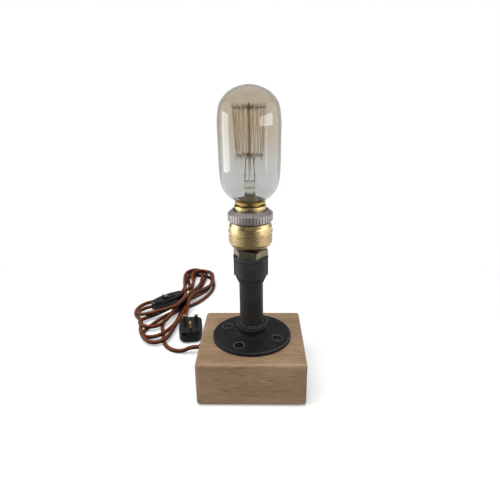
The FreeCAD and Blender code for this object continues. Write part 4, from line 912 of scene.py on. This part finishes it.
    def cage(self) -> None:
        """Builds the two stars of hooks and the filament between them."""
        arms = self.star(self.cage_foot, self.foot_radius, -1.0, 0.0)
        arms += self.star(self.cage_head, self.head_radius, 1.0, 180 / self.arms)
        stars = Bench.joined(arms, "cage_hooks", self.wardrobe.made[Finish.WIRE])
        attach(stars, "bulb")
        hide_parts("filament_supports")
        beads = []
        for height, (wide, tall) in ((self.cage_foot, self.foot_bead),
                                     (self.cage_head, self.head_bead)):
            rings = [(wide * r, height + tall * z) for r, z in self.bead_shape]
            beads.append(Bench.turned(rings, self.bead_sides, closed_foot=True))
        bead = Bench.joined(beads, "cage_beads", self.wardrobe.made[Finish.BEAD])
        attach(bead, "bulb")
        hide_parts("filament_supports")
        filament = Bench.joined(self.strands(), "filament_strands",
                                self.wardrobe.made[Finish.FILAMENT])
        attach(filament, "bulb")
        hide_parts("filament")

    def stem_wires(self) -> None:
        """Bends the two current wires, with their welds, from the pinch up to the cage."""
        wires, foot, radius = [], self.pinch_top, self.lead_radius
        for side in (-1, 1):
            spread = side * self.lead_spread
            path = [(spread * share, foot + up) for share, up in self.lead_bends]
            path.append((spread * 0.76, self.cage_foot - 2.0))
            wires.append(Bench.wire(path, radius, 8))
            weld = foot + self.weld_rise
            path = [(spread - 1.2, weld - 0.2), (spread + 0.2, weld + 0.25), (spread + 1.2, weld)]
            wires.append(Bench.wire(path, radius * 0.8, 6))
        wave = [(self.lead_spread * k / 3, foot + (1.7 if k % 2 else 0.2)) for k in range(-3, 4)]
        wires.append(Bench.wire(wave, radius, 6))
        pair = Bench.joined(wires, "current_wires", self.wardrobe.made[Finish.WIRE])
        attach(pair, "bulb")
        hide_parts("stem_leads")

    def rod_tip(self) -> None:
        """Draws out the rod's end above the cage."""
        rings = [(radius, self.cage_head + up) for radius, up in self.tip_shape]
        tip = Bench.turned(rings, self.bead_sides, closed_foot=True)
        tip = Bench.joined([tip], "rod_tip", self.wardrobe.made[Finish.STEM], 80.0)
        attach(tip, "bulb")

    def cement(self) -> None:
        """Fills the cap under the stem, where the glass is cemented in."""
        rings = [(radius, self.neck_foot + up) for radius, up in self.cement_shape]
        filling = Bench.turned(rings, self.cement_sides, closed_foot=True)
        filling = Bench.joined([filling], "cap_cement", self.wardrobe.made[Finish.CEMENT])
        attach(filling, "bulb")

    def build(self) -> None:
        """Makes all of the lamp's fine parts."""
        for step in (self.glass, self.cage, self.stem_wires, self.rod_tip, self.cement):
            step()
        LOG.info("lamp: envelope, %d hooked arms and strands, current wires and rod tip",
                 2 * self.arms)


@dataclass
class Springs:
    """The two coil springs under the plungers, in millimetres."""

    wardrobe: Wardrobe
    wire: float = 0.22
    mean_radius: float = 1.45
    spacing: float = 4.0
    turns: int = 4
    travel: float = 1.2
    sides: int = 8
    steps: int = 24

    def build(self, node: Piece) -> None:
        """Winds one spring and sets the pair.

        Args:
            node: the construction's own springs, whose ends these share.
        """
        heights = [(node.matrix_world @ Vector(corner)).z for corner in node.bound_box]
        foot, head = min(heights), max(heights)
        pitch = (head - foot - 2 * self.wire * MM) / self.turns
        Bench.start()
        bpy.ops.mesh.primitive_circle_add(vertices=self.sides, radius=self.wire * MM,
                                          enter_editmode=True, rotation=(math.pi / 2, 0.0, 0.0))
        bpy.ops.transform.translate(value=(self.mean_radius * MM, 0.0, foot + self.wire * MM))
        bpy.ops.object.mode_set(mode="OBJECT")
        bpy.ops.object.transform_apply()
        spring = bpy.context.active_object
        coil = spring.modifiers.new("coil", "SCREW")
        coil.axis, coil.angle = "Z", 2 * math.pi
        coil.screw_offset, coil.iterations = pitch, self.turns
        coil.steps = coil.render_steps = self.steps
        bpy.ops.object.modifier_apply(modifier="coil")
        bpy.ops.object.mode_set(mode="EDIT")
        bpy.ops.mesh.select_all(action="SELECT")
        bpy.ops.mesh.region_to_loop()
        bpy.ops.mesh.edge_face_add()
        bpy.ops.mesh.select_all(action="SELECT")
        bpy.ops.mesh.normals_make_consistent(inside=False)
        bpy.ops.transform.translate(value=(self.spacing * MM, 0.0, 0.0))
        bpy.ops.object.mode_set(mode="OBJECT")
        pair = Bench.joined(Bench.ringed(spring, 2, 90.0), "coil_springs",
                            self.wardrobe.made[Finish.SPRING], 60.0)
        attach(pair, "plungers")
        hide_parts("plunger_springs")
        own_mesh(pair)
        LOG.info("springs: two of %d turns, %.1f mm long", self.turns, (head - foot) / MM)


@dataclass
class Lead:
    """The braided lead, from the block's bush through the switch to the plug, in millimetres.

    It is folded to and fro through a waist, and lies on itself as it was put down.
    """

    wardrobe: Wardrobe
    diameter: float = 4.4
    length: float = 2010.0
    sides: int = 14
    switch_at: Point = (-110.4, 147.4)
    switch_reach: float = 24.0
    switch_height: float = 6.2
    nesting: float = 0.7
    hump: float = 0.006
    hump_reach: float = 60.0
    rounds: int = 8
    start: tuple = (
        (-56, 35), (-64, 35), (-74, 34.7), (-84, 37.2), (-92.3, 44.4), (-97.2, 53.6), (-99.5, 64),
        (-103, 76), (-106.5, 89), (-107, 101), (-103.5, 113), (-98, 122), (-91, 130))
    behind_switch: tuple = (
        (-97.5, 184), (-103, 175.5), (-111, 167.5), (-120, 160), (-130, 154), (-139.5, 148.5),
        (-146, 138.5), (-147.5, 125.5), (-143.5, 113.5), (-135.5, 104), (-131.5, 92.5),
        (-129.5, 80), (-125, 67), (-118.5, 56), (-109, 48.2), (-98.5, 50.5), (-93.3, 61), (-92, 74),
        (-90.3, 88), (-87.5, 104), (-85.5, 120))
    through_switch: tuple = (
        (-92.5, 115), (-101.5, 109), (-113, 106.5), (-125, 105.5), (-135, 107), (-141.3, 113.5),
        (-140.5, 122), (-134.5, 127.8), (-126.5, 132.2), (-118.5, 140), (-110.4, 147.9),
        (-101.5, 156.4), (-93.4, 165.4), (-88, 175.5), (-86, 188), (-85.5, 201))
    to_plug: tuple = (
        (-70, 170), (-77, 156), (-80.5, 143), (-82, 133), (-82, 124.2), (-82.4, 116.7),
        (-81.8, 107.1), (-80.8, 100.2), (-80.2, 96.2))
    exit_heights: tuple = (8.0, 8.0, 2.8)
    plug_heights: tuple = (6.7, 5.7, 4.9, 4.9, 4.9)
    carried: tuple = (
        "switch_base", "switch_cover", "switch_rocker", "rocker_pin", "switch_screws", "plug_cover",
        "plug_nose", "plug_base", "line_pin", "neutral_pin", "earth_pin", "plug_fuse", "plug_screw")

    @staticmethod
    def loop(root: Point, angle: float, length: float, width: float, side: int,
             fullness: float = 1.0, bow: float = 0.0) -> list[Point]:
        """Works out one loop with a round tip.

        Args:
            root: where it leaves the waist.
            angle: its axis, in degrees from +X.
            length: root to tip.
            width: across its tip.
            side: 1 goes out on the left of the axis, -1 on the right.
            fullness: below 1 it is wide near the waist, above 1 narrow.
            bow: how far its axis is bowed to the left.

        Returns:
            The loop's points on the table.
        """
        tip, stem = width / 2, length - width / 2
        nearest, furthest = 0.14, 0.97
        steps = [nearest + (furthest - nearest) * k / 4 for k in range(5)]
        out = [(stem * u, tip * math.sin(math.pi / 2 * u) ** fullness) for u in steps]
        turn = [(stem + tip * math.sin(math.pi * k / 6), tip * math.cos(math.pi * k / 6))
                for k in range(1, 6)]
        back = [(x, -y) for x, y in reversed(out)]
        ca, sa = math.cos(math.radians(angle)), math.sin(math.radians(angle))
        points = []
        for x, y in out + turn + back:
            y = side * y + bow * math.sin(math.pi * x / length)
            points.append((root[0] + x * ca - y * sa, root[1] + x * sa + y * ca))
        return points

    def plan(self) -> list[Point]:
        """Strings the lead's loops together.

        Returns:
            The control points on the table.
        """
        points = list(self.start)
        points += self.loop((-83, 134), 91, 106, 36, -1, 0.8, -11)
        points += self.loop((-88, 130), 247, 74, 27, 1, 1.2)
        points += self.loop((-87.5, 135), 88.5, 115, 27, -1)[:-3]
        points += self.behind_switch
        points += self.loop((-83, 133), 86, 110, 28, 1, 1.0, -4)
        points += self.loop((-90, 130), 231, 61, 27, -1, 1.2)
        points += self.loop((-86, 132), 92.5, 111, 26, 1, 1.3, -2)
        points += self.through_switch
        points += self.loop((-79.5, 131), 90, 102, 30, 1, 1.0, -9)[4:-3]
        points += self.to_plug
        return points

    @staticmethod
    def spline(points: list[Point], steps: int) -> list[Point]:
        """Reads the smooth line that the control points give.

        Args:
            points: the control points.
            steps: how many places on each span.

        Returns:
            Places on the line.
        """
        line = []
        for k in range(len(points) - 2):
            a, b, c = points[k:k + 3]
            first = a if k == 0 else tuple((u + v) / 2 for u, v in zip(a, b))
            last = c if k == len(points) - 3 else tuple((u + v) / 2 for u, v in zip(b, c))
            for n in range(steps):
                t = n / steps
                line.append(tuple((1 - t) ** 2 * u + 2 * t * (1 - t) * v + t * t * w
                                  for u, v, w in zip(first, b, last)))
        line.append(tuple(points[-1]))
        return line

    def crossings(self, line: list[Point], run: list[float]) -> list[list]:
        """Finds, for each place on the lead, what it passes over.

        Args:
            line: places on the lead.
            run: how far along it each is.

        Returns:
            For each place, the earlier ones below it and how much higher it has to lie.
        """
        cell = 5.0
        grid: dict = {}
        for i, (x, y) in enumerate(line):
            grid.setdefault((int(x // cell), int(y // cell)), []).append(i)
        below = []
        for i, (x, y) in enumerate(line):
            near = []
            for column in range(int(x // cell) - 1, int(x // cell) + 2):
                for row in range(int(y // cell) - 1, int(y // cell) + 2):
                    for j in grid.get((column, row), ()):
                        gap = math.dist((x, y), line[j])
                        if run[i] - run[j] > 4 * self.diameter and gap < self.diameter:
                            lift = math.sqrt(self.diameter ** 2 - gap ** 2)
                            near.append((j, self.nesting * lift))
            below.append(near)
        return below

    def eased(self, need: list[float], run: list[float]) -> list[float]:
        """Spreads each height to both sides in a long low hump.

        Args:
            need: how high each place has to lie.
            run: how far along the lead each is.

        Returns:
            The heights, without a step.
        """
        heights = []
        for i, best in enumerate(need):
            for step in (-1, 1):
                k = i + step
                while 0 <= k < len(need) and abs(run[k] - run[i]) < self.hump_reach:
                    best = max(best, need[k] - self.hump * (run[k] - run[i]) ** 2)
                    k += step
            heights.append(best)
        spread = 6
        windows = [heights[max(0, i - spread):i + spread + 1] for i in range(len(heights))]
        return [sum(window) / len(window) for window in windows]

    def settled(self, flat: list[Point]) -> list[float]:
        """Finds how high the lead lies, on the table, on itself and through the switch.

        Args:
            flat: the control points on the table.

        Returns:
            A height for each control point.
        """
        steps = 8
        line = self.spline(flat, steps)
        run = [0.0]
        for a, b in zip(line, line[1:]):
            run.append(run[-1] + math.dist(a, b))
        entry = flat.index(self.through_switch[0]) * steps
        rest = [self.diameter / 2] * len(line)
        for i, place in enumerate(line):
            if i > entry and math.dist(place, self.switch_at) < self.switch_reach:
                rest[i] = self.switch_height
        below = self.crossings(line, run)
        heights = list(rest)
        for _ in range(self.rounds):
            need = [max([low] + [heights[j] + lift for j, lift in near])
                    for low, near in zip(rest, below)]
            heights = self.eased(need, run)
        picked = [heights[0]]
        picked += [heights[min(len(line) - 1, round((k - 0.5) * steps))]
                   for k in range(1, len(flat) - 1)]
        picked.append(heights[-1])
        picked[:len(self.exit_heights)] = self.exit_heights
        picked[-len(self.plug_heights):] = self.plug_heights
        return picked

    def route(self) -> list[Vector]:
        """Draws the lead's line as one smooth curve and reads it.

        Returns:
            Close places on the line, in metres.
        """
        flat = self.plan()
        heights = self.settled(flat)
        data = bpy.data.curves.new("lead_line", "CURVE")
        data.dimensions = "3D"
        spline = data.splines.new("NURBS")
        spline.points.add(len(flat) - 1)
        for point, (x, y), z in zip(spline.points, flat, heights):
            point.co = (x * MM, y * MM, z * MM, 1.0)
        spline.order_u = 3
        spline.use_endpoint_u = True
        spline.resolution_u = 8
        drawn = bpy.data.objects.new("lead_line", data)
        mesh = bpy.data.meshes.new_from_object(drawn)
        places = [vertex.co.copy() for vertex in mesh.vertices]
        bpy.data.objects.remove(drawn)
        bpy.data.curves.remove(data)
        bpy.data.meshes.remove(mesh)
        LOG.info("lead: %d control points, highest %.1f mm", len(flat), max(heights))
        return places

    def tube(self, places: list[Vector]) -> bpy.types.Mesh:
        """Sweeps the lead's round section along its line, with a map of its yarns.

        Args:
            places: the line.

        Returns:
            The closed tube.
        """
        count, sides, radius = len(places), self.sides, self.diameter / 2 * MM
        up = Vector((0.0, 0.0, 1.0))
        points, run = [], [0.0]
        for i, place in enumerate(places):
            ahead = (places[min(i + 1, count - 1)] - places[max(i - 1, 0)]).normalized()
            up = (up - ahead * up.dot(ahead)).normalized()
            across = ahead.cross(up)
            for k in range(sides):
                angle = 2 * math.pi * k / sides
                points.append(place + (across * math.cos(angle) + up * math.sin(angle)) * radius)
            if i:
                run.append(run[-1] + (place - places[i - 1]).length)
        faces, marks = [], []
        for i in range(count - 1):
            for k in range(sides):
                a, b = i * sides + k, i * sides + (k + 1) % sides
                faces.append((a, a + sides, b + sides, b))
                left, right = k / sides, (k + 1) / sides
                marks += [(left, run[i]), (left, run[i + 1]), (right, run[i + 1]), (right, run[i])]
        last = (count - 1) * sides
        faces += [tuple(range(sides)), tuple(reversed(range(last, last + sides)))]
        marks += [(0.0, 0.0)] * sides + [(0.0, run[-1])] * sides
        mesh = bpy.data.meshes.new("lead")
        mesh.from_pydata(points, [], faces)
        layer = mesh.uv_layers.new(name="yarns")
        for corner, mark in zip(layer.data, marks):
            corner.uv = mark
        mesh.validate()
        return mesh

    def build(self) -> None:
        """Makes the lead."""
        places = self.route()
        mesh = self.tube(places)
        mesh.materials.append(self.wardrobe.made[Finish.BRAID])
        lead = bpy.data.objects.new("lead", mesh)
        bpy.context.scene.collection.objects.link(lead)
        Bench.start()
        lead.select_set(True)
        bpy.context.view_layer.objects.active = lead
        bpy.ops.object.shade_smooth_by_angle(angle=math.radians(60.0))
        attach(lead, "lamp")
        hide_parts("cord_tube", "cord_hank", "plug_lead")


@dataclass
class Studio:
    """A pale floor, soft windows on both sides and the camera."""

    eye: Point = (9.5, -361.0, 255.4)
    pitch: float = 19.56
    yaw: float = -1.61
    roll: float = -0.77
    lens: float = 31.68
    sensor: float = 36.0
    ambient: float = 0.38
    floor_size: float = 8.0
    floor_colour: float = 0.6
    floor_lift: float = 0.34
    floor_fade: Point = (0.2, 0.5)
    ground_end: Point = (0.4, 1.2)
    windows: tuple = (
        ("ceiling_light", (-0.15, -0.25, 1.15), (1.0, 1.0), 5.4, Ray.DIFFUSE),
        ("side_light", (-0.9, -0.55, 0.5), (0.4, 0.7), 3.0, Ray.DIFFUSE),
        ("left_window", (-0.79, 0.02, 0.19), (0.48, 0.34), 6.0, Ray.GLOSS),
        ("right_window", (0.75, -0.36, 0.285), (0.85, 0.18), 7.0, Ray.GLOSS),
        ("right_door", (0.72, -0.34, 0.12), (0.07, 0.2), 3.0, Ray.GLOSS),
    )
    aim: Point = (0.0, 0.0, 0.13)
    room: tuple = (
        (Axis.X, 0.72, 0.93, 0.12, 1.5), (Axis.X, -0.72, -0.93, 0.12, 1.5),
        (Axis.Y, 0.55, 0.95, 0.12, 0.5), (Axis.Z, 0.35, 0.9, 0.12, 0.85))
    ground: tuple = (
        (Axis.X, 0.2, 0.36, 0.2, 1.2), (Axis.X, -0.2, -0.36, 0.2, 1.2),
        (Axis.Y, -0.05, 0.15, 0.2, 1.0))

    def camera(self) -> None:
        """Places the camera."""
        pitch, yaw, roll = (math.radians(a) for a in (self.pitch, self.yaw, self.roll))
        reach = math.cos(pitch)
        ahead = Vector((math.sin(yaw) * reach, math.cos(yaw) * reach, -math.sin(pitch)))
        level = Vector((math.cos(yaw), -math.sin(yaw), 0.0))
        upright = level.cross(ahead)
        right = level * math.cos(roll) + upright * math.sin(roll)
        top = upright * math.cos(roll) - level * math.sin(roll)
        data = bpy.data.cameras.new("camera")
        data.lens, data.sensor_width, data.clip_start = self.lens, self.sensor, 0.01
        camera = bpy.data.objects.new("camera", data)
        turn = Matrix((right, top, -ahead)).transposed().to_4x4()
        camera.matrix_world = Matrix.Translation(Vector(self.eye) * MM) @ turn
        bpy.context.scene.collection.objects.link(camera)
        bpy.context.scene.camera = camera

    def lamps(self) -> None:
        """Hangs the soft lights, and the windows that only gloss shows."""
        for name, place, (wide, high), level, kind in self.windows:
            data = bpy.data.lights.new(name, "AREA")
            data.shape, data.size, data.size_y = "RECTANGLE", wide, high
            data.energy = level * wide * high * math.pi
            lamp = bpy.data.objects.new(name, data)
            lamp.visible_camera = lamp.visible_transmission = False
            lamp.visible_diffuse, lamp.visible_glossy = kind is Ray.DIFFUSE, kind is Ray.GLOSS
            look = Vector(self.aim) - Vector(place)
            turn = look.to_track_quat("-Z", "Y").to_matrix().to_4x4()
            lamp.matrix_world = Matrix.Translation(place) @ turn
            bpy.context.scene.collection.objects.link(lamp)

    @staticmethod
    def brightest(board: Board, bands: tuple, place: "Socket | None" = None) -> Socket:
        """Reads a level that grows towards each of some sides.

        Args:
            board: the tree that it is read in.
            bands: for each side its axis, where the level starts and stops growing, and both
                levels.
            place: other coordinates than the tree's own.

        Returns:
            The highest of the levels.
        """
        levels = [board.span(board.along(axis, place), *band) for axis, *band in bands]
        most = levels[0]
        for level in levels[1:]:
            most = board.math("MAXIMUM", most, level)
        return most

    def sky(self) -> None:
        """Lights the room: white where seen, even where it lights, a room in the gloss."""
        world = bpy.data.worlds.new("room")
        bpy.context.scene.world = world
        board = Board(world, "Generated")
        plain = board.node("Background", (0.98, 0.99, 1.0), self.ambient)
        gloss = board.node("Background", (1.0, 1.0, 1.0), self.brightest(board, self.room))
        seen = board.node("Background", (1.0, 1.0, 1.0), 1.0)
        lit = board.node("MixShader", board.rays("Glossy"), plain, gloss)
        both = board.node("MixShader", board.rays("Camera", "Transmission"), lit, seen)
        board.node("OutputWorld", both)

    def floor(self) -> None:
        """Lays the pale floor, which keeps the lamp's shadow and fades to white."""
        bpy.ops.mesh.primitive_plane_add(size=self.floor_size, location=(0.0, 0.0, 0.0))
        floor = bpy.context.active_object
        floor.name = "floor"
        material = bpy.data.materials.new("pale_floor")
        board = Board(material, "Object")
        seen = board.rays("Camera", "Transmission")
        body = board.node("BsdfDiffuse", (self.floor_colour,) * 3)
        lift = board.node("Emission", (1.0, 1.0, 1.0), board.times(seen, self.floor_lift))
        near = board.node("AddShader", body, lift)
        length = board.node("VectorMath", board.place)
        length.operation = "LENGTH"
        far = board.times(seen, board.span(length.outputs["Value"], *self.floor_fade))
        white = board.node("Emission", (1.0, 1.0, 1.0), 1.0)
        lit = board.node("MixShader", far, near, white)
        heading = board.node("VectorMath", board.place)
        heading.operation = "NORMALIZE"
        room = self.brightest(board, self.room, heading.outputs["Vector"])
        ground = self.brightest(board, self.ground)
        away = board.span(length.outputs["Value"], *self.ground_end)
        level = board.math("MULTIPLY_ADD", board.math("SUBTRACT", room, ground), away, ground)
        gloss = board.node("Emission", (1.0, 1.0, 1.0), level)
        mirrored = board.math("SUBTRACT", board.rays("Glossy"), board.rays("Transmission"))
        mirrored = board.math("MAXIMUM", mirrored, 0.0)
        both = board.node("MixShader", mirrored, lit, gloss)
        board.node("OutputMaterial", both)
        floor.data.materials.append(material)

    def build(self) -> None:
        """Sets up the whole studio."""
        bpy.context.scene.view_settings.view_transform = "Standard"
        self.camera()
        self.lamps()
        self.sky()
        self.floor()
        LOG.info("studio: camera, %d windows, room and floor", len(self.windows))


def main() -> None:
    """Builds the lamp's looks in order."""
    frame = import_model()
    Bench.start()
    wardrobe = Wardrobe()
    wardrobe.dress(frame["nodes"])
    Lead(wardrobe).build()
    Lamp(wardrobe).build()
    Springs(wardrobe).build(frame["nodes"]["plunger_springs"])
    Studio().build()


if __name__ == "__main__":
    main()
